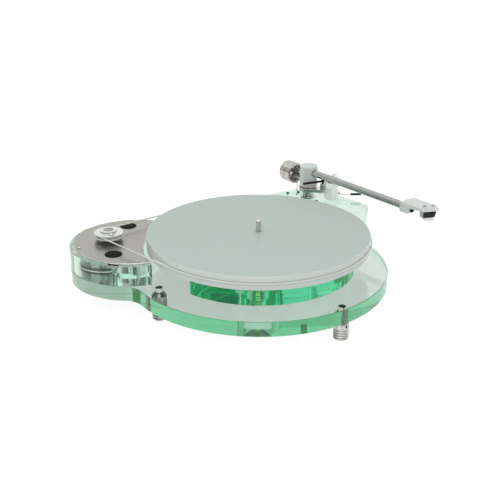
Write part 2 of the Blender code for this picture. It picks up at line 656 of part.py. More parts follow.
def build_bearing(parent, brass, black):
    """The brass bearing in the upper plinth, its neck and nut in the lower one's well."""
    flange_top = UPPER_TOP - SEAT_GAP
    flange_low = UPPER_TOP - BEARING_FLANGE_DEPTH
    neck_low = UPPER_BOTTOM - BEARING_NECK_LENGTH
    bore_floor = UPPER_BOTTOM + BEARING_BORE_FLOOR
    profile = [(0.0, neck_low), (BEARING_NECK_RADIUS, neck_low), (BEARING_NECK_RADIUS, UPPER_BOTTOM),
               (BEARING_BODY_RADIUS, UPPER_BOTTOM), (BEARING_BODY_RADIUS, flange_low),
               (BEARING_FLANGE_RADIUS, flange_low), (BEARING_FLANGE_RADIUS, flange_top),
               (BEARING_BORE_RADIUS, flange_top), (BEARING_BORE_RADIUS, bore_floor), (0.0, bore_floor)]
    piece("bearing_housing", lathe(bmesh.new(), profile), brass, parent)
    nut_top = neck_low + BEARING_NUT_HEIGHT
    nut = piece("bearing_nut", extrude(bmesh.new(), hexagon(BEARING_NUT_RADIUS), neck_low, nut_top),
                brass, parent)
    bore = rod(BEARING_NECK_RADIUS + SEAT_GAP, neck_low - OVERRUN, nut_top + OVERRUN)
    boolean(nut, lathe(bmesh.new(), bore, steps=SMALL_STEPS), "bearing_nut_bore")
    plug_top = neck_low - SEAT_GAP
    plug = rod(BEARING_PLUG_RADIUS, plug_top - BEARING_PLUG_HEIGHT, plug_top)
    piece("bearing_plug", lathe(bmesh.new(), plug, steps=SMALL_STEPS), black, parent)
    return bore_floor + SEAT_GAP

def build_platter(parent, look, journal_low):
    """The frosted platter on its hub, and the spindle through both."""
    axis = axis_empty("platter_axis", (0.0, 0.0, 0.0), parent)
    inner = SPINDLE_RADIUS + SEAT_GAP
    rim = PLATTER_RADIUS - PLATTER_CHAMFER
    profile = [(inner, PLATTER_BOTTOM), (rim, PLATTER_BOTTOM),
               (PLATTER_RADIUS, PLATTER_BOTTOM + PLATTER_CHAMFER),
               (PLATTER_RADIUS, PLATTER_TOP - PLATTER_CHAMFER), (rim, PLATTER_TOP), (inner, PLATTER_TOP)]
    piece("platter", lathe(bmesh.new(), profile, steps=PLATTER_STEPS, ring=True), look["frosted"], axis)
    hub_top = PLATTER_BOTTOM - SEAT_GAP
    hub = pipe(HUB_RADIUS, JOURNAL_RADIUS + SEAT_GAP, hub_top - HUB_THICKNESS, hub_top)
    piece("platter_hub", lathe(bmesh.new(), hub, ring=True), look["aluminium"], axis)
    tip = PLATTER_TOP + SPINDLE_HEIGHT
    nose = [(SPINDLE_RADIUS * math.cos(math.radians(angle)),
             tip - SPINDLE_TIP + SPINDLE_TIP * math.sin(math.radians(angle))) for angle in (0, 30, 60)]
    spindle = [(0.0, journal_low), (JOURNAL_RADIUS, journal_low + JOURNAL_POINT),
               (JOURNAL_RADIUS, hub_top), (SPINDLE_RADIUS, hub_top), *nose, (0.0, tip)]
    piece("spindle", lathe(bmesh.new(), spindle, steps=SMALL_STEPS), look["steel"], axis)

def on_rim(angle, height):
    """A frame on the lobe's axis at a height, with X turned to an angle."""
    return (Matrix.Translation((*lobe_centre(), height)) @
            Matrix.Rotation(math.radians(angle), 4, "Z"))

def wire_way(start, end, high):
    """A straight cut between two pockets, for the wires."""
    heading = math.radians(bearing_of(end, start))
    place = Matrix.Translation((*start, high)) @ Matrix.Rotation(heading, 4, "Z")
    half = WIRE_WAY_WIDTH / 2.0
    return block(bmesh.new(), (0.0, -half, -WIRE_WAY_DEPTH), (math.dist(start, end), half, OVERRUN), place)

def build_housing(parent, look, low, high):
    """The clear housing on the lobe, hollowed for the motor, capacitor, dampers and wires."""
    shape = extrude(bmesh.new(), crescent(LOBE_RADIUS, HOUSING_BITE_RADIUS), low, high, ACRYLIC_CHAMFER)
    housing = piece("motor_housing", shape, look["clear"], parent)
    top = high + OVERRUN
    holes = lathe(bmesh.new(), rod(MOTOR_RADIUS + POCKET_GAP, low - OVERRUN, top), at(*MOTOR_CENTRE))
    lathe(holes, rod(CAPACITOR_RADIUS + POCKET_GAP, high - CAPACITOR_HEIGHT - SEAT_GAP, top),
          at(*CAPACITOR_CENTRE))
    for _name, *place in DAMPER_PLACES:
        lathe(holes, rod(DAMPER_RADIUS + SEAT_GAP, high - DAMPER_DEPTH, top), at(*place), SMALL_STEPS)
    for _name, *place in PLATE_SCREW_PLACES:
        lathe(holes, rod(PLATE_SCREW_RADIUS + SEAT_GAP, low - OVERRUN, top), at(*place), TINY_STEPS)
    boolean(housing, holes, "housing_pockets")

    turned = at(*TERMINAL_CENTRE, high) @ Matrix.Rotation(math.radians(TERMINAL_TURN), 4, "Z")
    half_x, half_y = TERMINAL_SIZE[0] / 2.0, TERMINAL_SIZE[1] / 2.0
    deep = TERMINAL_SIZE[2] + SEAT_GAP
    well = block(bmesh.new(), (-half_x - SEAT_GAP, -half_y - SEAT_GAP, -deep),
                 (half_x + SEAT_GAP, half_y + SEAT_GAP, OVERRUN), turned)
    boolean(housing, well, "housing_terminal_well")
    boolean(housing, wire_way(TERMINAL_CENTRE, CAPACITOR_CENTRE, high), "housing_front_wire_way")
    boolean(housing, wire_way(CAPACITOR_CENTRE, MOTOR_CENTRE, high), "housing_rear_wire_way")
    piece("terminal_block", block(bmesh.new(), (-half_x, -half_y, -TERMINAL_SIZE[2]),
                                  (half_x, half_y, -WIRE_WAY_DEPTH), turned), look["dark"], parent)
    build_switch(parent, housing, look["black"], high)
    build_inlet(parent, housing, look["black"], (low + high) / 2.0)

def build_switch(parent, housing, black, high):
    """The push switch under the plate's rim, in a recess of the housing."""
    front = PLATE_RADIUS + SWITCH_PROUD
    back = front - SWITCH_SIZE[0]
    half = SWITCH_SIZE[1] / 2.0
    place = on_rim(SWITCH_ANGLE, high)
    inner = (back - SWITCH_TRAVEL - SEAT_GAP, -half - SEAT_GAP, -SWITCH_SIZE[2] - SEAT_GAP)
    recess = block(bmesh.new(), inner, (front + SWITCH_RECESS, half + SEAT_GAP, OVERRUN), place)
    boolean(housing, recess, "housing_switch_recess")
    axis = axis_empty("switch_axis", (0.0, 0.0, 0.0), parent)
    piece("power_switch", block(bmesh.new(), (back, -half, -SWITCH_SIZE[2]), (front, half, 0.0), place),
          black, axis)

def build_inlet(parent, housing, black, height):
    """The low-voltage inlet in the housing's rear wall, with its wire hole to the motor."""
    out = on_rim(INLET_ANGLE, height) @ Matrix.Rotation(math.pi / 2.0, 4, "Y")
    inside = LOBE_RADIUS - INLET_DEPTH
    hole = stepped((INLET_BORE, INLET_WIRE_REACH, inside - SEAT_GAP),
                   (INLET_RADIUS + SEAT_GAP, inside - SEAT_GAP, LOBE_RADIUS + OVERRUN))
    boolean(housing, lathe(bmesh.new(), hole, out, SMALL_STEPS), "housing_inlet_hole")
    seat = LOBE_RADIUS + SEAT_GAP
    face = seat + INLET_FLANGE
    middle = LOBE_RADIUS - INLET_DEPTH / 2.0
    socket = [(0.0, inside), (INLET_RADIUS, inside), (INLET_RADIUS, seat), (INLET_FLANGE_RADIUS, seat),
              (INLET_FLANGE_RADIUS, face), (INLET_BORE, face), (INLET_BORE, middle), (0.0, middle)]
    piece("power_inlet", lathe(bmesh.new(), socket, out, SMALL_STEPS), black, parent)

def build_motor(parent, look, high):
    """The motor hung under the plate, and its capacitor in its own pocket."""
    top = high
    low = top - MOTOR_HEIGHT
    waist = MOTOR_RADIUS - MOTOR_WAIST
    boss = top + MOTOR_BOSS_HEIGHT
    bore = MOTOR_SHAFT_RADIUS + RUN_GAP
    floor = low + MOTOR_RIM_HEIGHT
    can = [(0.0, low), (MOTOR_RADIUS, low), (MOTOR_RADIUS, floor), (waist, floor),
           (waist, top - MOTOR_RIM_HEIGHT), (MOTOR_RADIUS, top - MOTOR_RIM_HEIGHT), (MOTOR_RADIUS, top),
           (MOTOR_BOSS_RADIUS, top), (MOTOR_BOSS_RADIUS, boss), (bore, boss), (bore, floor), (0.0, floor)]
    piece("motor", lathe(bmesh.new(), can, at(*MOTOR_CENTRE)), look["aluminium"], parent)
    groove = high - CAPACITOR_GROOVE_DROP
    base = high - CAPACITOR_HEIGHT
    tin = [(0.0, base), (CAPACITOR_RADIUS, base), (CAPACITOR_RADIUS, groove - CAPACITOR_GROOVE),
           (CAPACITOR_RADIUS - CAPACITOR_GROOVE, groove), (CAPACITOR_RADIUS, groove + CAPACITOR_GROOVE),
           (CAPACITOR_RADIUS, high), (0.0, high)]
    piece("motor_capacitor", lathe(bmesh.new(), tin, at(*CAPACITOR_CENTRE)), look["steel"], parent)
    return floor + SEAT_GAP

def build_plate(parent, look, housing_top):
    """The brushed plate, its two rubber dampers and its three long screws."""
    low = housing_top + SEAT_GAP
    high = low + PLATE_THICKNESS
    shape = extrude(bmesh.new(), crescent(PLATE_RADIUS, PLATE_BITE_RADIUS), low, high, PLATE_CHAMFER)
    plate = piece("top_plate", shape, look["brushed"], parent)
    holes = lathe(bmesh.new(), rod(PLATE_SHAFT_HOLE, low - OVERRUN, high + OVERRUN), at(*MOTOR_CENTRE),
                  SMALL_STEPS)
    neck = DAMPER_RADIUS - DAMPER_LEDGE
    damper_low = housing_top - DAMPER_DEPTH + SEAT_GAP
    damper = [(0.0, damper_low), (DAMPER_RADIUS, damper_low), (DAMPER_RADIUS, housing_top),
              (neck, housing_top), (neck, high + DAMPER_CROWN / 2.0),
              (neck * DAMPER_CROWN_SHARE, high + DAMPER_CROWN), (0.0, high + DAMPER_CROWN)]
    for name, *place in DAMPER_PLACES:
        lathe(holes, rod(neck + SEAT_GAP, low - OVERRUN, high + OVERRUN), at(*place), SMALL_STEPS)
        piece(f"plate_damper_{name}", lathe(bmesh.new(), damper, at(*place), SMALL_STEPS),
              look["black"], parent)
    seat = high + SEAT_GAP
    screw = [(0.0, LOWER_TOP - PLATE_SCREW_BITE), (PLATE_SCREW_RADIUS, LOWER_TOP - PLATE_SCREW_BITE),
             (PLATE_SCREW_RADIUS, seat), (PLATE_SCREW_HEAD, seat),
             (PLATE_SCREW_HEAD / 2.0, seat + PLATE_SCREW_HEAD_HEIGHT), (0.0, seat + PLATE_SCREW_HEAD_HEIGHT)]
    for name, *place in PLATE_SCREW_PLACES:
        lathe(holes, rod(PLATE_SCREW_RADIUS + SEAT_GAP, low - OVERRUN, high + OVERRUN), at(*place),
              TINY_STEPS)
        piece(f"plate_screw_{name}", lathe(bmesh.new(), screw, at(*place), TINY_STEPS),
              look["steel"], parent)
    boolean(plate, holes, "plate_holes")

def belt_line_radii():
    """The radii of the belt's middle line on the platter and on the pulley."""
    on_platter = PLATTER_RADIUS + RUN_GAP + BELT_RADIUS
    return on_platter, on_platter / SPEED_RATIO

def build_pulley(parent, look, shaft_floor):
    """The pulley on the motor's shaft, with its grub screw and its cap."""
    axis = axis_empty("pulley_axis", (*MOTOR_CENTRE, 0.0), parent)
    _on_platter, on_pulley = belt_line_radii()
    groove_top = BELT_HEIGHT + PULLEY_ABOVE_BELT
    groove_low = BELT_HEIGHT - PULLEY_BELOW_BELT
    top = groove_top + PULLEY_FLANGE
    lip_low = groove_low - PULLEY_LIP
    boss_low = lip_low - PULLEY_BOSS
    groove = on_pulley - BELT_RADIUS - RUN_GAP
    bore = MOTOR_SHAFT_RADIUS + SEAT_GAP
    dish = top - PULLEY_DISH_DEPTH
    profile = [(bore, boss_low), (PULLEY_BOSS_RADIUS, boss_low), (PULLEY_BOSS_RADIUS, lip_low),
               (PULLEY_LIP_RADIUS, lip_low), (PULLEY_LIP_RADIUS, groove_low), (groove, groove_low),
               (groove, groove_top), (PULLEY_FLANGE_RADIUS, groove_top), (PULLEY_FLANGE_RADIUS, top),
               (PULLEY_DISH_RADIUS, top), (PULLEY_DISH_RADIUS, dish), (bore, dish)]
    pulley = piece("pulley", lathe(bmesh.new(), profile, ring=True), look["white"], axis)
    grub = along((0.0, 0.0, boss_low + PULLEY_BOSS / 2.0), (*polar(1.0, PULLEY_SCREW_ANGLE), 0.0))
    hole = rod(PULLEY_SCREW_RADIUS + SEAT_GAP, MOTOR_SHAFT_RADIUS, PULLEY_BOSS_RADIUS + OVERRUN)
    boolean(pulley, lathe(bmesh.new(), hole, grub, TINY_STEPS), "pulley_screw_hole")
    screw = rod(PULLEY_SCREW_RADIUS, bore, PULLEY_BOSS_RADIUS)
    piece("pulley_screw", lathe(bmesh.new(), screw, grub, TINY_STEPS), look["steel"], axis)
    cap = rod(PULLEY_CAP_RADIUS, dish + SEAT_GAP, dish + SEAT_GAP + PULLEY_CAP_HEIGHT)
    piece("pulley_cap", lathe(bmesh.new(), cap, steps=SMALL_STEPS), look["dark"], axis)
    shaft = rod(MOTOR_SHAFT_RADIUS, shaft_floor, dish)
    piece("motor_shaft", lathe(bmesh.new(), shaft, steps=SMALL_STEPS), look["steel"], axis)

def build_belt(parent, rubber):
    """The round belt: an arc on the platter, an arc on the pulley, and two straight runs."""
    on_platter, on_pulley = belt_line_radii()
    heading = bearing_of(MOTOR_CENTRE)
    spread = math.degrees(math.acos((on_platter - on_pulley) / math.hypot(*MOTOR_CENTRE)))
    round_platter = arc((0.0, 0.0), on_platter, heading + spread, heading + 360.0 - spread)
    round_pulley = arc(MOTOR_CENTRE, on_pulley, heading - spread, heading + spread, BELT_TURN_STEP)
    loop = [(x, y, BELT_HEIGHT) for x, y in round_platter + round_pulley]
    piece("drive_belt", sweep(bmesh.new(), loop, BELT_RADIUS, BELT_SIDES, closed=True), rubber, parent)

def build_arm_base(parent, look):
    """The fixed half of the unipivot: pillar and spike, and the screws in the board."""
    shoulder = UPPER_TOP + PILLAR_SHOULDER
    neck_top = shoulder + SEAT_GAP * 2.0 + PLATFORM_THICKNESS
    tail = UPPER_BOTTOM
    seat = UPPER_TOP + SEAT_GAP
    place = at(*PIVOT)
    pillar = stepped((PILLAR_THREAD_RADIUS, tail, seat), (PILLAR_FLANGE_RADIUS, seat, seat + PILLAR_FLANGE),
                     (PILLAR_RADIUS, seat + PILLAR_FLANGE, shoulder), (PILLAR_NECK_RADIUS, shoulder, neck_top))
    piece("arm_pillar", lathe(bmesh.new(), pillar, place), look["steel"], parent)
    spike = [(0.0, neck_top + SEAT_GAP), (SPIKE_RADIUS, neck_top + SEAT_GAP),
             (SPIKE_RADIUS, ARM_AXIS - SPIKE_POINT), (0.0, ARM_AXIS)]
    piece("pivot_spike", lathe(bmesh.new(), spike, place, SMALL_STEPS), look["steel"], parent)
    screw = stepped((BOARD_SCREW_RADIUS, UPPER_TOP - BOARD_SCREW_BITE, seat),
                    (BOARD_SCREW_HEAD, seat, seat + BOARD_SCREW_HEAD_HEIGHT))
    for name, *spot in BOARD_SCREW_PLACES:
        piece(f"armboard_screw_{name}", lathe(bmesh.new(), screw, at(*spot), TINY_STEPS),
              look["steel"], parent)

def build_platform(parent, steel):
    """The collar on the pillar's neck, with an ear that carries the lift."""
    low = UPPER_TOP + PILLAR_SHOULDER + SEAT_GAP
    high = low + PLATFORM_THICKNESS
    ear = polar(LIFT_REACH, LIFT_ANGLE)
    side = math.degrees(math.acos((PLATFORM_RADIUS - PLATFORM_EAR_RADIUS) / LIFT_REACH))
    outline = (arc((0.0, 0.0), PLATFORM_RADIUS, LIFT_ANGLE + side, LIFT_ANGLE + 360.0 - side, 2.0 * ARC_STEP)
               + arc(ear, PLATFORM_EAR_RADIUS, LIFT_ANGLE - side, LIFT_ANGLE + side, 4.0 * ARC_STEP))
    slab = extrude(bmesh.new(), outline, low, high, PLATFORM_CHAMFER, at(*PIVOT))
    platform = piece("lift_platform", slab, steel, parent)
    bore = rod(PILLAR_NECK_RADIUS + SEAT_GAP, low - OVERRUN, high + OVERRUN)
    boolean(platform, lathe(bmesh.new(), bore, at(*PIVOT), SMALL_STEPS), "lift_platform_bore")
    return high

def build_lift(parent, look, platform_top):
    """The damped lift: a cylinder on the platform's ear, a piston and a bar under the arm."""
    spot = polar(LIFT_REACH, LIFT_ANGLE, PIVOT)
    low = platform_top + SEAT_GAP
    high = low + LIFT_CYLINDER_HEIGHT
    floor = low + LIFT_CYLINDER_FLOOR
    bore = LIFT_PISTON_RADIUS + RUN_GAP
    barrel = [(0.0, low), (LIFT_CYLINDER_RADIUS, low), (LIFT_CYLINDER_RADIUS, high), (bore, high),
              (bore, floor), (0.0, floor)]
    piece("lift_cylinder", lathe(bmesh.new(), barrel, at(*spot), SMALL_STEPS), look["steel"], parent)
    axis = axis_empty("lift_axis", (0.0, 0.0, 0.0), parent)
    bar_height = ARM_AXIS - LIFT_BAR_DROP
    head_low = bar_height - LIFT_HEAD_HEIGHT / 2.0
    piston = stepped((LIFT_PISTON_RADIUS, floor + SEAT_GAP, head_low),
                     (LIFT_HEAD_RADIUS, head_low, head_low + LIFT_HEAD_HEIGHT))
    lift = piece("lift_bar", lathe(bmesh.new(), piston, at(*spot), SMALL_STEPS), look["black"], axis)
    end = polar(LIFT_BAR_END_REACH, LIFT_BAR_END_ANGLE, PIVOT)
    bar = sweep(bmesh.new(), [(*spot, bar_height), (*end, bar_height)], LIFT_BAR_RADIUS)
    boolean(lift, bar, "lift_bar_rod", "UNION")

def build_rest(parked, look):
    """The frosted post outboard of the arm, with the rest and its horn on top."""
    low = UPPER_TOP + SEAT_GAP - ARM_AXIS
    top = -POST_DROP
    half = POST_SIZE / 2.0
    corner = (POST_REACH - half, POST_OUT - half)
    far = (POST_REACH + half, POST_OUT + half)
    post = piece("rest_post", block(bmesh.new(), (*corner, low), (*far, top), chamfer=POST_CHAMFER),
                 look["frosted"], parked)
    shaft_height = low - SEAT_GAP + CUE_HEIGHT
    hole = rod(CUE_SHAFT_RADIUS + RUN_GAP, -CUE_SHAFT_LENGTH - SEAT_GAP, OVERRUN)
    outward = along((CUE_REACH, far[1], shaft_height), (0.0, 1.0, 0.0))
    boolean(post, lathe(bmesh.new(), hole, outward, TINY_STEPS), "rest_post_hole")

    rest_low = top + SEAT_GAP
    rest_top = -ARM_TUBE_RADIUS - SEAT_GAP
    rear = REST_REACH - REST_WIDTH / 2.0
    front = REST_REACH + REST_WIDTH / 2.0
    horn_inner = ARM_TUBE_RADIUS + HORN_GAP
    horn_outer = horn_inner + HORN_WALL
    outline = [corner, (far[0], corner[1]), (rear, horn_outer), (rear, -REST_INNER), (front, -REST_INNER),
               (front, horn_outer), far, (corner[0], far[1])]
    rest = piece("arm_rest", extrude(bmesh.new(), outline, rest_low, rest_top, REST_CHAMFER),
                 look["frosted"], parked)
    inset = REST_CHAMFER * 2.0
    horn = block(bmesh.new(), (rear + inset, horn_inner, rest_low + inset),
                 (front - inset, horn_outer - inset, HORN_RISE), chamfer=REST_CHAMFER)
    boolean(rest, horn, "arm_rest_horn", "UNION")
    return (CUE_REACH, far[1], shaft_height)

def build_cue_lever(parked, look, place):
    """The cue lever: a shaft in the post, a hub, a bent rod and a rubber grip."""
    axis = axis_empty("cue_axis", place, parked)
    hub_low = SEAT_GAP
    hub_high = hub_low + CUE_HUB_LENGTH
    sideways = along((0.0, 0.0, 0.0), (0.0, 1.0, 0.0))
    profile = stepped((CUE_SHAFT_RADIUS, -CUE_SHAFT_LENGTH, hub_low), (CUE_HUB_RADIUS, hub_low, hub_high))
    lever = piece("cue_lever", lathe(bmesh.new(), profile, sideways, SMALL_STEPS), look["steel"], axis)
    out = (hub_low + hub_high) / 2.0
    elbow = (CUE_ELBOW, out)
    tip = polar(CUE_ROD_LENGTH, CUE_ROD_ANGLE, elbow)
    bend = [polar(CUE_ELBOW / 4.0, 180.0, elbow), polar(CUE_ELBOW / 4.0, CUE_ROD_ANGLE, elbow)]
    path = [(CUE_HUB_RADIUS / 2.0, out, 0.0), *[(x, y, 0.0) for x, y in bend], (*tip, 0.0)]
    boolean(lever, sweep(bmesh.new(), path, CUE_ROD_RADIUS), "cue_rod", "UNION")
    end = polar(CUE_GRIP_LENGTH - CUE_GRIP_BORE_DEPTH + SEAT_GAP, CUE_ROD_ANGLE, tip)
    heading = (*polar(-1.0, CUE_ROD_ANGLE), 0.0)
    bore = CUE_ROD_RADIUS + SEAT_GAP
    cap = CUE_GRIP_LENGTH - CUE_GRIP_BORE_DEPTH
    grip = [(0.0, 0.0), (CUE_GRIP_RADIUS, 0.0), (CUE_GRIP_RADIUS, CUE_GRIP_LENGTH),
            (bore, CUE_GRIP_LENGTH), (bore, cap), (0.0, cap)]
    piece("cue_grip", lathe(bmesh.new(), grip, along((*end, 0.0), heading), TINY_STEPS), look["black"], axis)

def build_guide(parent, steel):
    """The thin post behind the pivot, which the arm's thread runs over."""
    foot = UPPER_TOP + SEAT_GAP
    knob = foot + GUIDE_HEIGHT
    profile = stepped((GUIDE_FOOT_RADIUS, foot, foot + GUIDE_FOOT_HEIGHT),
                      (GUIDE_RADIUS, foot + GUIDE_FOOT_HEIGHT, knob - GUIDE_KNOB_HEIGHT),
                      (GUIDE_KNOB_RADIUS, knob - GUIDE_KNOB_HEIGHT, knob))
    piece("thread_guide", lathe(bmesh.new(), profile, at(*GUIDE_PLACE), TINY_STEPS), steel, parent)

def build_arm(arm, look):
    """The cup on the spike, the frosted housing round it, and the tube."""
    low = math.degrees(math.asin(-CUP_MOUTH_DEPTH / CUP_RADIUS))
    cup = [(0.0, SEAT_GAP), (CUP_MOUTH_RADIUS, -CUP_MOUTH_DEPTH), *arc((0.0, 0.0), CUP_RADIUS, low, 90.0,
                                                                       3.0 * ARC_STEP)]
    piece("pivot_cup", lathe(bmesh.new(), cup, steps=SMALL_STEPS), look["brass"], arm)

    seat = CUP_RADIUS + SEAT_GAP
    start = math.degrees(math.asin(ARM_HOUSING_LIP / seat))
    chamfer = ARM_HOUSING_CHAMFER
    dome = arc((0.0, 0.0), seat, 90.0, start, 3.0 * ARC_STEP)
    profile = [*dome, (ARM_HOUSING_BORE, ARM_HOUSING_LIP), (ARM_HOUSING_BORE, -ARM_HOUSING_SKIRT),
               (ARM_HOUSING_RADIUS, -ARM_HOUSING_SKIRT), (ARM_HOUSING_RADIUS, ARM_HOUSING_RISE - chamfer),
               (ARM_HOUSING_RADIUS - chamfer, ARM_HOUSING_RISE),
               (ARM_DIMPLE_RADIUS, ARM_HOUSING_RISE + ARM_HOUSING_CROWN),
               (ARM_DIMPLE_RADIUS, ARM_HOUSING_RISE - ARM_DIMPLE_DEPTH),
               (0.0, ARM_HOUSING_RISE - ARM_DIMPLE_DEPTH)]
    housing = piece("arm_housing", lathe(bmesh.new(), profile), look["frosted"], arm)
    inner = ARM_HOUSING_BORE - OVERRUN
    outer = ARM_HOUSING_RADIUS + OVERRUN
    forward = along((0.0, 0.0, 0.0), (1.0, 0.0, 0.0))
    hole = lathe(bmesh.new(), rod(ARM_TUBE_RADIUS + SEAT_GAP, inner, outer), forward, SMALL_STEPS)
    boolean(housing, hole, "arm_housing_tube_hole")
    backward = along((0.0, 0.0, -STUB_DROP), (-1.0, 0.0, 0.0))
    hole = lathe(bmesh.new(), rod(STUB_RADIUS + SEAT_GAP, inner, outer), backward, SMALL_STEPS)
    boolean(housing, hole, "arm_housing_stub_hole")
    tube = pipe(ARM_TUBE_RADIUS, ARM_TUBE_RADIUS - ARM_TUBE_WALL, inner + SEAT_GAP, ARM_TUBE_END)
    piece("arm_tube", lathe(bmesh.new(), tube, forward, SMALL_STEPS, ring=True), look["aluminium"], arm)
    stub = rod(STUB_RADIUS, inner + SEAT_GAP, STUB_END)
    piece("counterweight_stub", lathe(bmesh.new(), stub, backward, SMALL_STEPS), look["steel"], arm)

def build_counterweight(arm, steel):
    """The low-slung counterweight: a turned drum, dished at the front, with a high bore."""
    axis = axis_empty("counterweight_axis", (0.0, 0.0, 0.0), arm)
    place = along((-WEIGHT_START, 0.0, -WEIGHT_DROP), (-1.0, 0.0, 0.0))
    rim = WEIGHT_RADIUS - WEIGHT_CHAMFER
    profile = [(0.0, WEIGHT_RECESS_DEPTH), (WEIGHT_RECESS_RADIUS, WEIGHT_RECESS_DEPTH),
               (WEIGHT_RECESS_RADIUS, 0.0), (rim, 0.0), (WEIGHT_RADIUS, WEIGHT_CHAMFER),
               (WEIGHT_RADIUS, WEIGHT_LENGTH - WEIGHT_CHAMFER), (rim, WEIGHT_LENGTH), (0.0, WEIGHT_LENGTH)]
    weight = piece("counterweight", lathe(bmesh.new(), profile, place), steel, axis)
    bore = rod(STUB_RADIUS + RUN_GAP, WEIGHT_START, WEIGHT_START + WEIGHT_LENGTH + OVERRUN)
    backward = along((0.0, 0.0, -STUB_DROP), (-1.0, 0.0, 0.0))
    boolean(weight, lathe(bmesh.new(), bore, backward, SMALL_STEPS), "counterweight_bore")

def head_outline():
    """The headshell in plan: straight outboard, swept in to a skewed front edge."""
    tip = polar(HEAD_FRONT, 90.0 + HEAD_OFFSET, HEAD_NOSE)
    return rounded([(HEAD_START, -HEAD_INNER, 0.0), (HEAD_START + HEAD_CLAMP_LENGTH, -HEAD_INNER, 0.0),
                    (*HEAD_NOSE, HEAD_CORNER), (*tip, HEAD_CORNER), (HEAD_OUTER_END, HEAD_OUTER, HEAD_CORNER),
                    (HEAD_START, HEAD_OUTER, HEAD_CORNER)])

def build_headshell(arm, look):
    """The frosted headshell plate with its clamp round the tube, and the lead's grommet."""
    under = HEAD_RISE - HEAD_THICKNESS
    clamp_end = HEAD_START + HEAD_CLAMP_LENGTH
    shell = piece("headshell", extrude(bmesh.new(), head_outline(), under, HEAD_RISE, HEAD_CHAMFER),
                  look["frosted"], arm)
    side = HEAD_INNER - HEAD_CLAMP_INSET
    clamp = block(bmesh.new(), (HEAD_START + HEAD_CLAMP_INSET, -side, -HEAD_CLAMP_DROP),
                  (clamp_end, HEAD_INNER, HEAD_RISE - HEAD_THICKNESS / 2.0), chamfer=HEAD_CHAMFER)
    boolean(shell, clamp, "headshell_clamp", "UNION")
    forward = along((0.0, 0.0, 0.0), (1.0, 0.0, 0.0))
    socket = rod(ARM_TUBE_RADIUS + SEAT_GAP, HEAD_START - OVERRUN, ARM_TUBE_END + SEAT_GAP)
    boolean(shell, lathe(bmesh.new(), socket, forward, SMALL_STEPS), "headshell_socket")
    bolt_holes = bmesh.new()
    seat = HEAD_RISE + SEAT_GAP
    low = under - SEAT_GAP - BOLT_BITE
    for name, turn in (("outer", 90.0), ("inner", -90.0)):
        spot = at(*polar(BOLT_SPACING / 2.0, HEAD_OFFSET + turn, BOLT_MIDDLE))
        lathe(bolt_holes, rod(BOLT_RADIUS + SEAT_GAP, low - SEAT_GAP, HEAD_RISE + OVERRUN), spot, TINY_STEPS)
        bolt = stepped((BOLT_RADIUS, low, seat), (BOLT_HEAD_RADIUS, seat, seat + BOLT_HEAD_HEIGHT))
        piece(f"cartridge_bolt_{name}", lathe(bmesh.new(), bolt, spot, TINY_STEPS), look["steel"], arm)
    frame_holes = bolt_holes.copy()
    boolean(shell, bolt_holes, "headshell_bolt_holes")
    grommet = rod(GROMMET_RADIUS, clamp_end + SEAT_GAP, clamp_end + SEAT_GAP + GROMMET_LENGTH)
    drop = at(0.0, 0.0, -GROMMET_DROP)
    piece("lead_grommet", lathe(bmesh.new(), grommet, drop @ forward, SMALL_STEPS), look["black"], arm)
    return under - SEAT_GAP, frame_holes

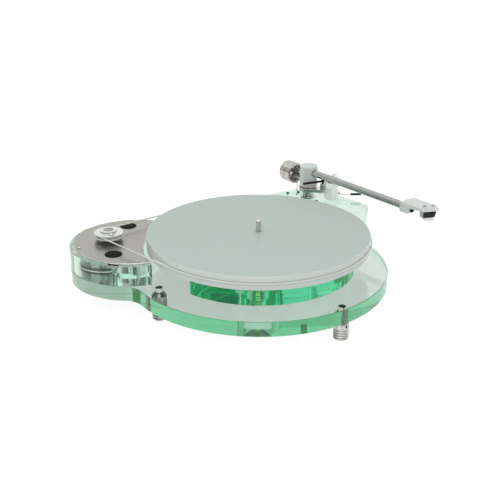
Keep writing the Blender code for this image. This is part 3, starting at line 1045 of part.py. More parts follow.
def build_cartridge(arm, look, top, frame_holes):
    """The cartridge: an inverted U of aluminium, a black body, a white guard and the stylus."""
    turn = Matrix.Rotation(math.radians(HEAD_OFFSET), 4, "Z")
    place = at(*BOLT_MIDDLE, top) @ turn
    upright = place @ Matrix.Rotation(math.pi / 2.0, 4, "X")
    lengthways = place @ Matrix(((0, 0, 1, 0), (1, 0, 0, 0), (0, 1, 0, 0), (0, 0, 0, 1)))
    wide = FRAME_WIDTH / 2.0
    bay = wide - FRAME_CHEEK
    section = [(-wide, 0.0), (-wide, -FRAME_HEIGHT), (-bay, -FRAME_HEIGHT), (-bay, -FRAME_TOP),
               (bay, -FRAME_TOP), (bay, -FRAME_HEIGHT), (wide, -FRAME_HEIGHT), (wide, 0.0)]
    frame = piece("cartridge_frame", extrude(bmesh.new(), section, -FRAME_BACK, FRAME_FRONT,
                                             place=lengthways), look["aluminium"], arm)
    boolean(frame, frame_holes, "cartridge_frame_holes")
    half = bay - SEAT_GAP
    body_top = -FRAME_TOP - SEAT_GAP
    side = [(-FRAME_BACK, body_top), (-FRAME_BACK, -BODY_HEIGHT), (BODY_FRONT - BODY_CHIN, -BODY_HEIGHT),
            (BODY_FRONT + BODY_NOSE, -BODY_NOSE_DROP), (BODY_FRONT, 0.0), (FRAME_FRONT + SEAT_GAP, 0.0),
            (FRAME_FRONT + SEAT_GAP, body_top)]
    piece("cartridge_body", extrude(bmesh.new(), side, -half, half, place=upright), look["black"], arm)
    guard_top = -BODY_HEIGHT - SEAT_GAP
    guard_low = guard_top - GUARD_HEIGHT
    side = [(-GUARD_BACK, guard_top), (-GUARD_BACK, guard_low), (BODY_FRONT + GUARD_SLOPE, guard_low),
            (BODY_FRONT, guard_top)]
    piece("stylus_guard", extrude(bmesh.new(), side, -half, half, place=upright), look["white"], arm)
    root = Vector((BODY_FRONT - GUARD_HEIGHT, 0.0, guard_low - SEAT_GAP - CANTILEVER_RADIUS))
    tip = Vector((STYLUS_REACH, 0.0, -STYLUS_DROP + STYLUS_TIP_LENGTH))
    reach = (tip - root).length
    lever = lathe(bmesh.new(), rod(CANTILEVER_RADIUS, 0.0, reach), place @ along(root, tip - root), TINY_STEPS)
    stylus = piece("stylus", lever, look["aluminium"], arm)
    base = CANTILEVER_RADIUS / 2.0
    point = [(0.0, -STYLUS_TIP_LENGTH), (CANTILEVER_RADIUS * STYLUS_POINT_SHARE, base), (0.0, base)]
    tip_shape = lathe(bmesh.new(), point, place @ at(tip.x - CANTILEVER_RADIUS, 0.0, tip.z), TINY_STEPS)
    boolean(stylus, tip_shape, "stylus_point", "UNION")

def stand_on_origin(root):
    """Moves the assembly so that the middle of its base is the origin."""
    bpy.context.view_layer.update()
    graph = bpy.context.evaluated_depsgraph_get()
    corners = []
    for thing in bpy.context.scene.objects:
        if thing.type == "MESH" and not thing.hide_render:
            mesh = thing.evaluated_get(graph).data
            corners += [thing.matrix_world @ vert.co for vert in mesh.vertices]
    low = [min(corner[axis] for corner in corners) for axis in range(3)]
    high = [max(corner[axis] for corner in corners) for axis in range(3)]
    root.location = (-(low[0] + high[0]) / 2.0, -(low[1] + high[1]) / 2.0, -low[2])
    bpy.context.view_layer.update()

def main():
    """Clears the scene and builds the whole turntable."""
    for thing in list(bpy.data.objects):
        bpy.data.objects.remove(thing, do_unlink=True)
    look = finishes()
    root = axis_empty("turntable", (0.0, 0.0, 0.0), None)
    build_lower_plinth(root, look["clear"])
    build_upper_plinth(root, look["clear"])
    build_plinth_screws(root, look["steel"])
    build_feet(root, look["steel"], look["brass"])
    journal_low = build_bearing(root, look["brass"], look["black"])
    build_platter(root, look, journal_low)
    housing_low = LOWER_TOP + SEAT_GAP
    housing_top = housing_low + HOUSING_HEIGHT
    build_housing(root, look, housing_low, housing_top)
    shaft_floor = build_motor(root, look, housing_top)
    build_plate(root, look, housing_top)
    build_pulley(root, look, shaft_floor)
    build_belt(root, look["belt"])
    build_arm_base(root, look)
    platform_top = build_platform(root, look["steel"])
    build_lift(root, look, platform_top)
    parked = axis_empty("parked_arm_line", (*PIVOT, ARM_AXIS), root, ARM_HEADING)
    cue_place = build_rest(parked, look)
    build_cue_lever(parked, look, cue_place)
    build_guide(root, look["steel"])
    arm = axis_empty("arm_pivot", (*PIVOT, ARM_AXIS), root, ARM_HEADING)
    build_arm(arm, look)
    build_counterweight(arm, look["steel"])
    top, frame_holes = build_headshell(arm, look)
    build_cartridge(arm, look, top, frame_holes)
    stand_on_origin(root)

main()
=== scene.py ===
"""The finished look of a clear acrylic turntable with a unipivot tonearm.

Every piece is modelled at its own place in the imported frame, in metres, with +Z up and +X to
the user's right. Plan angles are in degrees, counter-clockwise from +X. Pieces of the arm are
laid out along the parked arm: X towards the headshell, Y away from the platter, Z up, from the
point that the arm balances on.
"""
import json
import logging
import math
from dataclasses import dataclass
from enum import Enum
from functools import cache

import bmesh
import bpy
from bpy.types import Material, Node, NodeSocket, NodeTree, Object
from mathutils import Matrix, Quaternion, Vector

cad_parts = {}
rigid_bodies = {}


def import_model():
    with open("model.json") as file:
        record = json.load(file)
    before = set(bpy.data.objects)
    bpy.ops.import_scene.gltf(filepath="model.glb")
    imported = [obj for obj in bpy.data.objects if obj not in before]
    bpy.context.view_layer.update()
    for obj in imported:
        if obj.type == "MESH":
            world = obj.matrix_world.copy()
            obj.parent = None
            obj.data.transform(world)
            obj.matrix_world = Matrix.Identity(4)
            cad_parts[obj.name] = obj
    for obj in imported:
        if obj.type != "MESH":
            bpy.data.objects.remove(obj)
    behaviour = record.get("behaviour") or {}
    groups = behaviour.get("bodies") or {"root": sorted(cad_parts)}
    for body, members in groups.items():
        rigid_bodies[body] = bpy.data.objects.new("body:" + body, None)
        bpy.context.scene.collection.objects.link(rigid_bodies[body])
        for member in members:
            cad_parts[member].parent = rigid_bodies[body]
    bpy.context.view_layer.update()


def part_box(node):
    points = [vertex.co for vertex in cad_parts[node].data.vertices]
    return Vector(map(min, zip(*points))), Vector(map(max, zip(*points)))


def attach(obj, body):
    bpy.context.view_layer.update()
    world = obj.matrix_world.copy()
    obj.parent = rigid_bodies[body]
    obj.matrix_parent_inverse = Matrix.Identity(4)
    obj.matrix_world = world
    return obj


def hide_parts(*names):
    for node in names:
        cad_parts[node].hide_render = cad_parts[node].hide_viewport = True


Point = tuple[float, float]
Triple = tuple[float, float, float]
Colour = Triple

LOG = logging.getLogger("turntable")
SEAT_GAP = 0.0003    # between pieces that stay together
RUN_GAP = 0.0004     # between pieces that move past each other
OVERRUN = 0.002      # how far a cut runs past a face
WELD = 0.000001      # points nearer than this become one
ORIGIN = (0.0, 0.0, 0.0)
X_AXIS = (1.0, 0.0, 0.0)
Y_AXIS = (0.0, 1.0, 0.0)
Z_AXIS = (0.0, 0.0, 1.0)
FINE_STEPS = 192
ROUND_STEPS = 96
SMALL_STEPS = 48
HEX_STEPS = 6
WIRE_SIDES = 6
ARC_STEP = math.radians(1.5)
FILLET_STEP = 2.0 * ARC_STEP
CORNER_STEP = 4.0 * ARC_STEP
DOME_STEP = 6.0 * ARC_STEP
SHOULDER_STEP = 8.0 * ARC_STEP
DOME_TOP = 80.0      # the angle at which a dome's arc meets its crown
SMOOTH_ANGLE = math.radians(30.0)
BEVEL_ANGLE = math.radians(35.0)
HAIR_EDGE = 0.0002
FINE_EDGE = 0.0003
SOFT_EDGE = 0.0004
ROUND_EDGE = 0.0005
FULL_EDGE = 0.0008
PARKED_ANGLE = -83.5     # the arm's heading on its rest
SURFACE_IOR = 1.49
BUMP_STRENGTH = 0.6
LEVEL_SPAN = (0.80, 0.98)     # how upright the normals of level faces are
PATTERN_SPAN = (0.3, 0.7)     # the part of the noise that is used
FINE_NOISE = 14.0             # how much finer the second noise is
FINE_OCTAVES = 3.0
MIX_FIRST, MIX_SECOND, MIX_RESULT = 6, 7, 2     # a mix node's colour sockets


class Grain(Enum):
    """How a finish varies over its surface.

    Each is the octaves and the roughness of its broad noise, and the share of fine noise. CLOUDED
    is moulded or cast material, BRUSHED the lines of a belt or a lathe tool, POLISHED faint waves.
    """

    CLOUDED = (4.0, 0.55, 0.45)
    BRUSHED = (6.0, 0.7, 0.45)
    POLISHED = (4.0, 0.55, 0.15)


class Joining(Enum):
    """How one solid acts on another."""

    CUT = "DIFFERENCE"
    ADD = "UNION"


def fill(node: Node, values: dict[str, float | tuple[float, ...]]) -> None:
    """Sets a node's inputs by their names."""
    for name, value in values.items():
        node.inputs[name].default_value = value


def map_range(tree: NodeTree, value: NodeSocket, source: Point = (0.0, 1.0),
              target: Point = (0.0, 1.0)) -> NodeSocket:
    """Maps a value from one range to another, and holds it there.

    Args:
        tree: the node tree.
        value: what is mapped.
        source: the range it comes in.
        target: the range it goes to.

    Returns:
        The mapped value.
    """
    node = tree.nodes.new("ShaderNodeMapRange")
    for name, number in zip(("From Min", "From Max", "To Min", "To Max"), (*source, *target)):
        node.inputs[name].default_value = number
    tree.links.new(value, node.inputs["Value"])
    return node.outputs["Result"]


def mix_colours(tree: NodeTree, share: NodeSocket, second: Colour, blend: str = "MIX") -> Node:
    """Mixes a fixed colour into another one.

    Args:
        tree: the node tree.
        share: how much of the fixed colour there is.
        second: the fixed colour.
        blend: how it acts on the other one.

    Returns:
        The mix node, whose first colour is still open.
    """
    node = tree.nodes.new("ShaderNodeMix")
    node.data_type = "RGBA"
    node.blend_type = blend
    node.inputs[MIX_SECOND].default_value = (*second, 1.0)
    tree.links.new(share, node.inputs["Factor"])
    return node


@dataclass(frozen=True)
class Finish:
    """One finish: its colours, its gloss, the detail over it and, on some, painted light and shade.

    Args:
        name: the material's name.
        colour: the main colour.
        tint: the colour that the detail runs to.
        gloss: the lowest and the highest roughness.
        metallic: 1 for bare metal.
        transmission: how much light goes through.
        grain: the kind of detail.
        scale: how many features it has in a metre.
        stretch: how much finer it is along X, Y and Z.
        relief: the height of the detail in metres.
        absorb: the colour that thick material shows.
        density: how fast it takes that colour, per metre.
        coat: the weight of a clear coat.
        glow: the strength of its emission: painted light on the acrylic and frosted finishes, an even
            glow on the floor.
        shine: how strongly its surface reflects.
        level: what multiplies the colour on level faces where they differ, as painted shade that tones
            them apart from the upright faces.
        edge: the colour of painted light, an emission on its upright faces.
        painted_far_shade: what multiplies its upright faces at their far end, as painted shade.
        toward: the direction in plan of the painted far shade.
        painted_shade_span: where along it the painted far shade starts and ends, in metres.
    """

    name: str
    colour: Colour
    tint: Colour
    gloss: Point
    metallic: float = 0.0
    transmission: float = 0.0
    grain: Grain = Grain.CLOUDED
    scale: float = 60.0
    stretch: Triple = (1.0, 1.0, 1.0)
    relief: float = 0.00001
    absorb: Colour = (1.0, 1.0, 1.0)
    density: float = 0.0
    coat: float = 0.0
    glow: float = 0.0
    shine: float = 0.5
    # Painted light and shade: level tones the level faces as painted shade, edge is painted light on the
    # upright faces, and the far shade darkens them at their far end.
    level: Colour | None = None
    edge: Colour = (0.0, 0.0, 0.0)
    painted_far_shade: Colour = (1.0, 1.0, 1.0)
    toward: Triple = (-0.82, 0.57, 0.0)
    painted_shade_span: Point = (0.12, 0.19)

    def painted_light_and_shade_nodes(self, tree: NodeTree, colour: NodeSocket) -> None:
        """Paints shade on the level faces, and gives the upright ones painted light and a painted shade
        at their far end.

        Args:
            tree: the material's node tree.
            colour: the colour of the other faces.
        """
        nodes, links = tree.nodes, tree.links
        shader = nodes["Principled BSDF"]
        coords = nodes.new("ShaderNodeTexCoord")
        split = nodes.new("ShaderNodeSeparateXYZ")
        links.new(coords.outputs["Normal"], split.inputs["Vector"])
        upward = nodes.new("ShaderNodeMath")
        upward.operation = "ABSOLUTE"
        links.new(split.outputs["Z"], upward.inputs[0])
        share = map_range(tree, upward.outputs["Value"], LEVEL_SPAN)
        # Painted shade: upright faces darken towards their far end in plan.
        far = nodes.new("ShaderNodeVectorMath")
        far.operation = "DOT_PRODUCT"
        far.inputs[1].default_value = self.toward
        links.new(coords.outputs["Object"], far.inputs[0])
        rest = nodes.new("ShaderNodeMath")
        rest.operation = "SUBTRACT"
        rest.use_clamp = True
        links.new(map_range(tree, far.outputs["Value"], self.painted_shade_span), rest.inputs[0])
        links.new(share, rest.inputs[1])
        side = mix_colours(tree, rest.outputs["Value"], self.painted_far_shade, "MULTIPLY")
        links.new(colour, side.inputs[MIX_FIRST])
        # Painted shade multiplied into the level faces.
        body = mix_colours(tree, share, self.level, "MULTIPLY")
        links.new(side.outputs[MIX_RESULT], body.inputs[MIX_FIRST])
        links.new(body.outputs[MIX_RESULT], shader.inputs["Base Color"])
        # Painted light: the edge colour glows as an emission on upright faces, not on level ones.
        light = mix_colours(tree, share, (0.0, 0.0, 0.0))
        light.inputs[MIX_FIRST].default_value = (*self.edge, 1.0)
        links.new(light.outputs[MIX_RESULT], shader.inputs["Emission Color"])

    def detail_nodes(self, tree: NodeTree) -> NodeSocket:
        """Adds the pattern that drives the finish.

        Args:
            tree: the material's node tree.

        Returns:
            The pattern's value, from 0 to 1.
        """
        nodes, links = tree.nodes, tree.links
        coords = nodes.new("ShaderNodeTexCoord")
        mapping = nodes.new("ShaderNodeMapping")
        fill(mapping, {"Scale": self.stretch})
        links.new(coords.outputs["Object"], mapping.inputs["Vector"])
        octaves, roughness, fine_share = self.grain.value
        broad = nodes.new("ShaderNodeTexNoise")
        fill(broad, {"Scale": self.scale, "Detail": octaves, "Roughness": roughness})
        links.new(mapping.outputs["Vector"], broad.inputs["Vector"])
        fine = nodes.new("ShaderNodeTexNoise")
        fill(fine, {"Scale": self.scale * FINE_NOISE, "Detail": FINE_OCTAVES})
        links.new(mapping.outputs["Vector"], fine.inputs["Vector"])
        share = nodes.new("ShaderNodeMix")
        fill(share, {"Factor": fine_share})
        links.new(broad.outputs["Fac"], share.inputs["A"])
        links.new(fine.outputs["Fac"], share.inputs["B"])
        return map_range(tree, share.outputs["Result"], PATTERN_SPAN)

    def build(self) -> Material:
        """Makes the material.

        Returns:
            The new material.
        """
        material = bpy.data.materials.new(self.name)
        material.use_nodes = True
        tree = material.node_tree
        nodes, links = tree.nodes, tree.links
        shader = nodes["Principled BSDF"]
        pattern = self.detail_nodes(tree)
        ramp = nodes.new("ShaderNodeValToRGB")
        ramp.color_ramp.elements[0].color = (*self.tint, 1.0)
        ramp.color_ramp.elements[1].color = (*self.colour, 1.0)
        links.new(pattern, ramp.inputs["Fac"])
        links.new(ramp.outputs["Color"], shader.inputs["Base Color"])
        # Painted shade on level faces and painted light on upright ones.
        if self.level:
            self.painted_light_and_shade_nodes(tree, ramp.outputs["Color"])
        links.new(map_range(tree, pattern, target=self.gloss), shader.inputs["Roughness"])
        if self.relief:
            bump = nodes.new("ShaderNodeBump")
            fill(bump, {"Strength": BUMP_STRENGTH, "Distance": self.relief})
            links.new(pattern, bump.inputs["Height"])
            links.new(bump.outputs["Normal"], shader.inputs["Normal"])
        # Emission is painted light on the acrylic and frosted finishes, and an even glow on the floor.
        fill(shader, {"Metallic": self.metallic, "Transmission Weight": self.transmission,
                      "IOR": SURFACE_IOR, "Specular IOR Level": self.shine,
                      "Coat Weight": self.coat, "Emission Color": (1.0, 1.0, 1.0, 1.0),
                      "Emission Strength": self.glow})
        if self.density:
            volume = nodes.new("ShaderNodeVolumeAbsorption")
            fill(volume, {"Color": (*self.absorb, 1.0), "Density": self.density})
            links.new(volume.outputs["Volume"], nodes["Material Output"].inputs["Volume"])
        return material


# Painted light and shade on the clear acrylics: glow shows their edge colour as an emission on upright
# faces, level tones their level faces, and the far shade of CLEAR darkens upright faces towards the
# lobe.
ACRYLIC = {"transmission": 1.0, "grain": Grain.POLISHED, "scale": 9.0, "relief": 0.0, "glow": 1.0}
CLEAR = Finish("clear_acrylic", (0.695, 0.685, 0.70), (0.675, 0.665, 0.68), (0.0, 0.015),
               absorb=(0.20, 0.83, 0.52), density=6.0, level=(0.975, 1.02, 0.965),
               edge=(0.010, 0.025, 0.015), painted_far_shade=(0.89, 0.68, 0.74), **ACRYLIC)
POD = Finish("pod_acrylic", (0.83, 0.85, 0.835), (0.81, 0.83, 0.815), (0.0, 0.015),
             absorb=(0.25, 0.76, 0.52), density=5.0, level=(0.93, 0.965, 0.94),
             edge=(0.008, 0.015, 0.011), **ACRYLIC)
DEEP = Finish("deep_acrylic", (0.85, 0.87, 0.855), (0.83, 0.85, 0.835), (0.0, 0.015),
              absorb=(0.17, 0.80, 0.58), density=8.0, level=(0.912, 0.931, 0.918),
              edge=(0.0, 0.045, 0.022), **ACRYLIC)
# Painted shade: level darkens the platter's top and bottom faces against its wall.
PLATTER_FROST = Finish("frosted_platter", (0.59, 0.645, 0.615), (0.565, 0.62, 0.59), (0.36, 0.50),
                       scale=18.0, relief=0.000006, level=(0.673, 0.730, 0.709))
# Painted light: glow shows the edge colour as an emission on the upright faces of the headshell, arm
# housing, rest and post.
ARM_FROST = Finish("frosted_arm", (0.77, 0.805, 0.785), (0.63, 0.68, 0.65), (0.32, 0.46),
                   transmission=0.25, scale=120.0, relief=0.000006, level=(1.0, 1.0, 1.0),
                   edge=(0.050, 0.055, 0.052), glow=1.0)
POST_FROST = Finish("frosted_post", (0.88, 0.94, 0.90), (0.82, 0.88, 0.845), (0.34, 0.48),
                    transmission=0.25, scale=120.0, relief=0.000006, level=(1.0, 1.0, 1.0),
                    edge=(0.150, 0.165, 0.155), glow=1.0)
# Painted reflections: the pattern runs from near black to bright in bands stretched upright, on the
# feet, pillar and lift cylinder.
CHROME_WITH_PAINTED_REFLECTIONS = Finish("chrome_painted_reflections", (0.86, 0.85, 0.82), (0.09, 0.09, 0.085), (0.05, 0.12), metallic=1.0,
                grain=Grain.POLISHED, scale=120.0, stretch=(1.0, 1.0, 0.06), relief=0.000003)
INSERT = Finish("ribbed_insert", (0.55, 0.55, 0.52), (0.06, 0.06, 0.055), (0.14, 0.28), metallic=1.0,
                scale=260.0, relief=0.000004)
STEEL = Finish("polished_steel", (0.72, 0.71, 0.68), (0.60, 0.59, 0.56), (0.06, 0.16), metallic=1.0,
               grain=Grain.POLISHED, scale=160.0, relief=0.000003)
DARK_STEEL = Finish("blackened_steel", (0.16, 0.16, 0.16), (0.09, 0.09, 0.09), (0.22, 0.36),
                    metallic=1.0, scale=220.0, relief=0.000005)
# Painted highlight: a far lighter colour on the plate's rim, for the bright line along its edge.
RIM_PAINTED_HIGHLIGHT = Finish("rim_painted_highlight", (0.94, 0.93, 0.91), (0.86, 0.85, 0.83), (0.18, 0.30), metallic=1.0,
             grain=Grain.POLISHED, relief=0.000003)
TURNED = Finish("turned_steel", (0.68, 0.67, 0.64), (0.50, 0.49, 0.46), (0.10, 0.26), metallic=1.0,
                grain=Grain.BRUSHED, scale=40.0, stretch=(1.0, 1.0, 30.0), relief=0.000006)
# Painted reflections: dark and bright bands running along the counterweight's length.
WEIGHT_WITH_PAINTED_REFLECTIONS = Finish("weight_painted_reflections", (0.84, 0.82, 0.79), (0.10, 0.08, 0.065), (0.05, 0.14), metallic=1.0,
                grain=Grain.POLISHED, scale=34.0, stretch=(1.0, 0.05, 1.0), relief=0.000004)
PLATE = Finish("brushed_plate", (0.43, 0.42, 0.385), (0.28, 0.27, 0.24), (0.20, 0.40), metallic=1.0,
               grain=Grain.BRUSHED, scale=12.0, stretch=(2.0, 60.0, 2.0))
TUBE = Finish("satin_tube", (0.43, 0.455, 0.43), (0.32, 0.34, 0.32), (0.16, 0.26), metallic=1.0,
              grain=Grain.BRUSHED, scale=30.0, stretch=(20.0, 2.0, 20.0), relief=0.000005)
ALUMINIUM = Finish("satin_aluminium", (0.62, 0.64, 0.62), (0.50, 0.52, 0.50), (0.22, 0.38),
                   metallic=1.0, grain=Grain.BRUSHED, scale=40.0, stretch=(1.0, 1.0, 20.0),
                   relief=0.000006)
BRASS = Finish("turned_brass", (0.98, 0.80, 0.34), (0.78, 0.58, 0.20), (0.10, 0.24), metallic=1.0,
               grain=Grain.BRUSHED, scale=40.0, stretch=(1.0, 1.0, 30.0), relief=0.000006)
RUBBER = Finish("black_rubber", (0.012, 0.012, 0.0125), (0.006, 0.006, 0.0065), (0.45, 0.65),
                scale=300.0, relief=0.000020, shine=0.3)
SOFT_RUBBER = Finish("soft_black_rubber", (0.008, 0.008, 0.008), (0.003, 0.003, 0.003), (0.60, 0.85),
                     scale=260.0, relief=0.000040, shine=0.15)
DARK = Finish("dark_plastic", (0.095, 0.105, 0.115), (0.065, 0.072, 0.080), (0.32, 0.48),
              scale=260.0, relief=0.000012)
CAP = Finish("grey_cap", (0.27, 0.29, 0.275), (0.20, 0.215, 0.20), (0.30, 0.45),
             scale=420.0, relief=0.000030)
CHEEK = Finish("satin_cheek", (0.64, 0.66, 0.64), (0.56, 0.58, 0.56), (0.28, 0.42),
               scale=160.0, relief=0.000006)
WHITE = Finish("white_plastic", (0.70, 0.71, 0.685), (0.62, 0.635, 0.61), (0.24, 0.38),
               scale=200.0, relief=0.000008, coat=0.2)
BRIGHT_WHITE = Finish("bright_white_plastic", (0.88, 0.88, 0.87), (0.82, 0.82, 0.81), (0.18, 0.30),
                      scale=200.0, relief=0.000006, coat=0.3)
BELT = Finish("belt_rubber", (0.66, 0.72, 0.68), (0.57, 0.63, 0.59), (0.38, 0.55),
              scale=240.0, relief=0.000012)
FLOOR = Finish("pale_floor", (0.20, 0.20, 0.20), (0.19, 0.19, 0.19), (0.80, 0.90),
               scale=3.0, relief=0.0, glow=0.92, shine=0.0)


@cache
def paint(finish: Finish) -> Material:
    """The material of a finish, made once."""
    return finish.build()


def polar(radius: float, degrees: float, centre: Point = (0.0, 0.0)) -> Point:
    """The plan point at a radius and an angle from a centre."""
    angle = math.radians(degrees)
    return (centre[0] + radius * math.cos(angle), centre[1] + radius * math.sin(angle))


def bearing_of(point: Point, centre: Point = (0.0, 0.0)) -> float:
    """The angle in degrees at which a point is seen from a centre."""
    return math.degrees(math.atan2(point[1] - centre[1], point[0] - centre[0]))


def arc(centre: Point, radius: float, start: float, end: float, step: float = ARC_STEP) -> list[Point]:
    """Points along an arc.

    Args:
        centre: the arc's centre.
        radius: its radius.
        start: its first angle in degrees.
        end: its last angle in degrees.
        step: the angle between points, in radians.

    Returns:
        The points, both ends included.
    """
    count = max(2, math.ceil(abs(math.radians(end - start)) / step))
    return [polar(radius, start + (end - start) * index / count, centre) for index in range(count + 1)]


def short_arc(centre: Point, radius: float, first: Point, last: Point,
              step: float = ARC_STEP) -> list[Point]:
    """The shorter arc round a centre between the directions of two points.

    Args:
        centre: the arc's centre.
        radius: its radius.
        first: a point towards its start.
        last: a point towards its end.
        step: the angle between points, in radians.

    Returns:
        The points, both ends included.
    """
    start = bearing_of(first, centre)
    turn = (bearing_of(last, centre) - start + 180.0) % 360.0 - 180.0
    return arc(centre, radius, start, start + turn, step)


def circles_meet(one: Point, radius_one: float, two: Point, radius_two: float) -> tuple[Point, Point]:
    """Where two circles cross.

    Args:
        one: the first centre.
        radius_one: the first radius.
        two: the second centre.
        radius_two: the second radius.

    Returns:
        The two points, the one left of one-to-two first.
    """
    apart = math.dist(one, two)
    reach = (radius_one ** 2 - radius_two ** 2 + apart ** 2) / (2.0 * apart)
    half = math.sqrt(radius_one ** 2 - reach ** 2)
    unit = ((two[0] - one[0]) / apart, (two[1] - one[1]) / apart)
    foot = (one[0] + unit[0] * reach, one[1] + unit[1] * reach)
    return ((foot[0] - unit[1] * half, foot[1] + unit[0] * half),
            (foot[0] + unit[1] * half, foot[1] - unit[0] * half))


def fillet_corner(before: Point, here: Point, after: Point, radius: float) -> list[Point]:
    """The arc that rounds a corner between two straight edges.

    Args:
        before: the corner before this one.
        here: the corner.
        after: the corner after it.
        radius: the fillet's radius.

    Returns:
        The fillet's points.
    """
    corner = Vector(here)
    back = (Vector(before) - corner).normalized()
    ahead = (Vector(after) - corner).normalized()
    half = back.angle(ahead) / 2.0
    centre = corner + (back + ahead).normalized() * (radius / math.sin(half))
    first = corner + back * (radius / math.tan(half))
    last = corner + ahead * (radius / math.tan(half))
    return short_arc(tuple(centre), radius, first, last, CORNER_STEP)


def rounded(corners: list[Triple]) -> list[Point]:
    """An outline of straight edges with rounded corners.

    Args:
        corners: each corner's place and its fillet radius, where 0 leaves it sharp.

    Returns:
        The outline.
    """
    outline = []
    for index, (x, y, radius) in enumerate(corners):
        before = corners[index - 1][:2]
        after = corners[(index + 1) % len(corners)][:2]
        outline += fillet_corner(before, (x, y), after, radius) if radius else [(x, y)]
    return outline


def hexagon(radius: float, turn: float = 0.0) -> list[Point]:
    """The corners of a hexagon, turned by an angle."""
    return [polar(radius, 60.0 * side + turn) for side in range(6)]


def rod(radius: float, low: float, high: float) -> list[Point]:
    """The profile of a plain round bar."""
    return [(0.0, low), (radius, low), (radius, high), (0.0, high)]


def pipe(outer: float, inner: float, low: float, high: float) -> list[Point]:
    """The closed profile of a tube."""
    return [(inner, low), (outer, low), (outer, high), (inner, high)]


def stepped(*steps: Triple) -> list[Point]:
    """The profile of a stack of round bars, each a radius with its low and high end."""
    profile = [(0.0, steps[0][1])]
    for radius, low, high in steps:
        profile += [(radius, low), (radius, high)]
    profile.append((0.0, steps[-1][2]))
    return profile


def at(x: float, y: float, z: float = 0.0) -> Matrix:
    """A move without a turn."""
    return Matrix.Translation((x, y, z))


def along(start: Vector | Triple, direction: Vector | Triple) -> Matrix:
    """Stands Z along a direction, at a start point."""
    turn = Vector(direction).to_track_quat("Z", "Y").to_matrix().to_4x4()
    return Matrix.Translation(start) @ turn


def turn_z(degrees: float) -> Matrix:
    """A turn about Z."""
    return Matrix.Rotation(math.radians(degrees), 4, "Z")


def middle(node: str) -> Vector:
    """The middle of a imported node's box."""
    low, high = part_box(node)
    return (low + high) / 2.0


def stand(node: str) -> Matrix:
    """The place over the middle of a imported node, at floor level."""
    centre = middle(node)
    return at(centre.x, centre.y)


def heights(node: str) -> Point:
    """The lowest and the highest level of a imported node."""
    low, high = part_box(node)
    return low.z, high.z


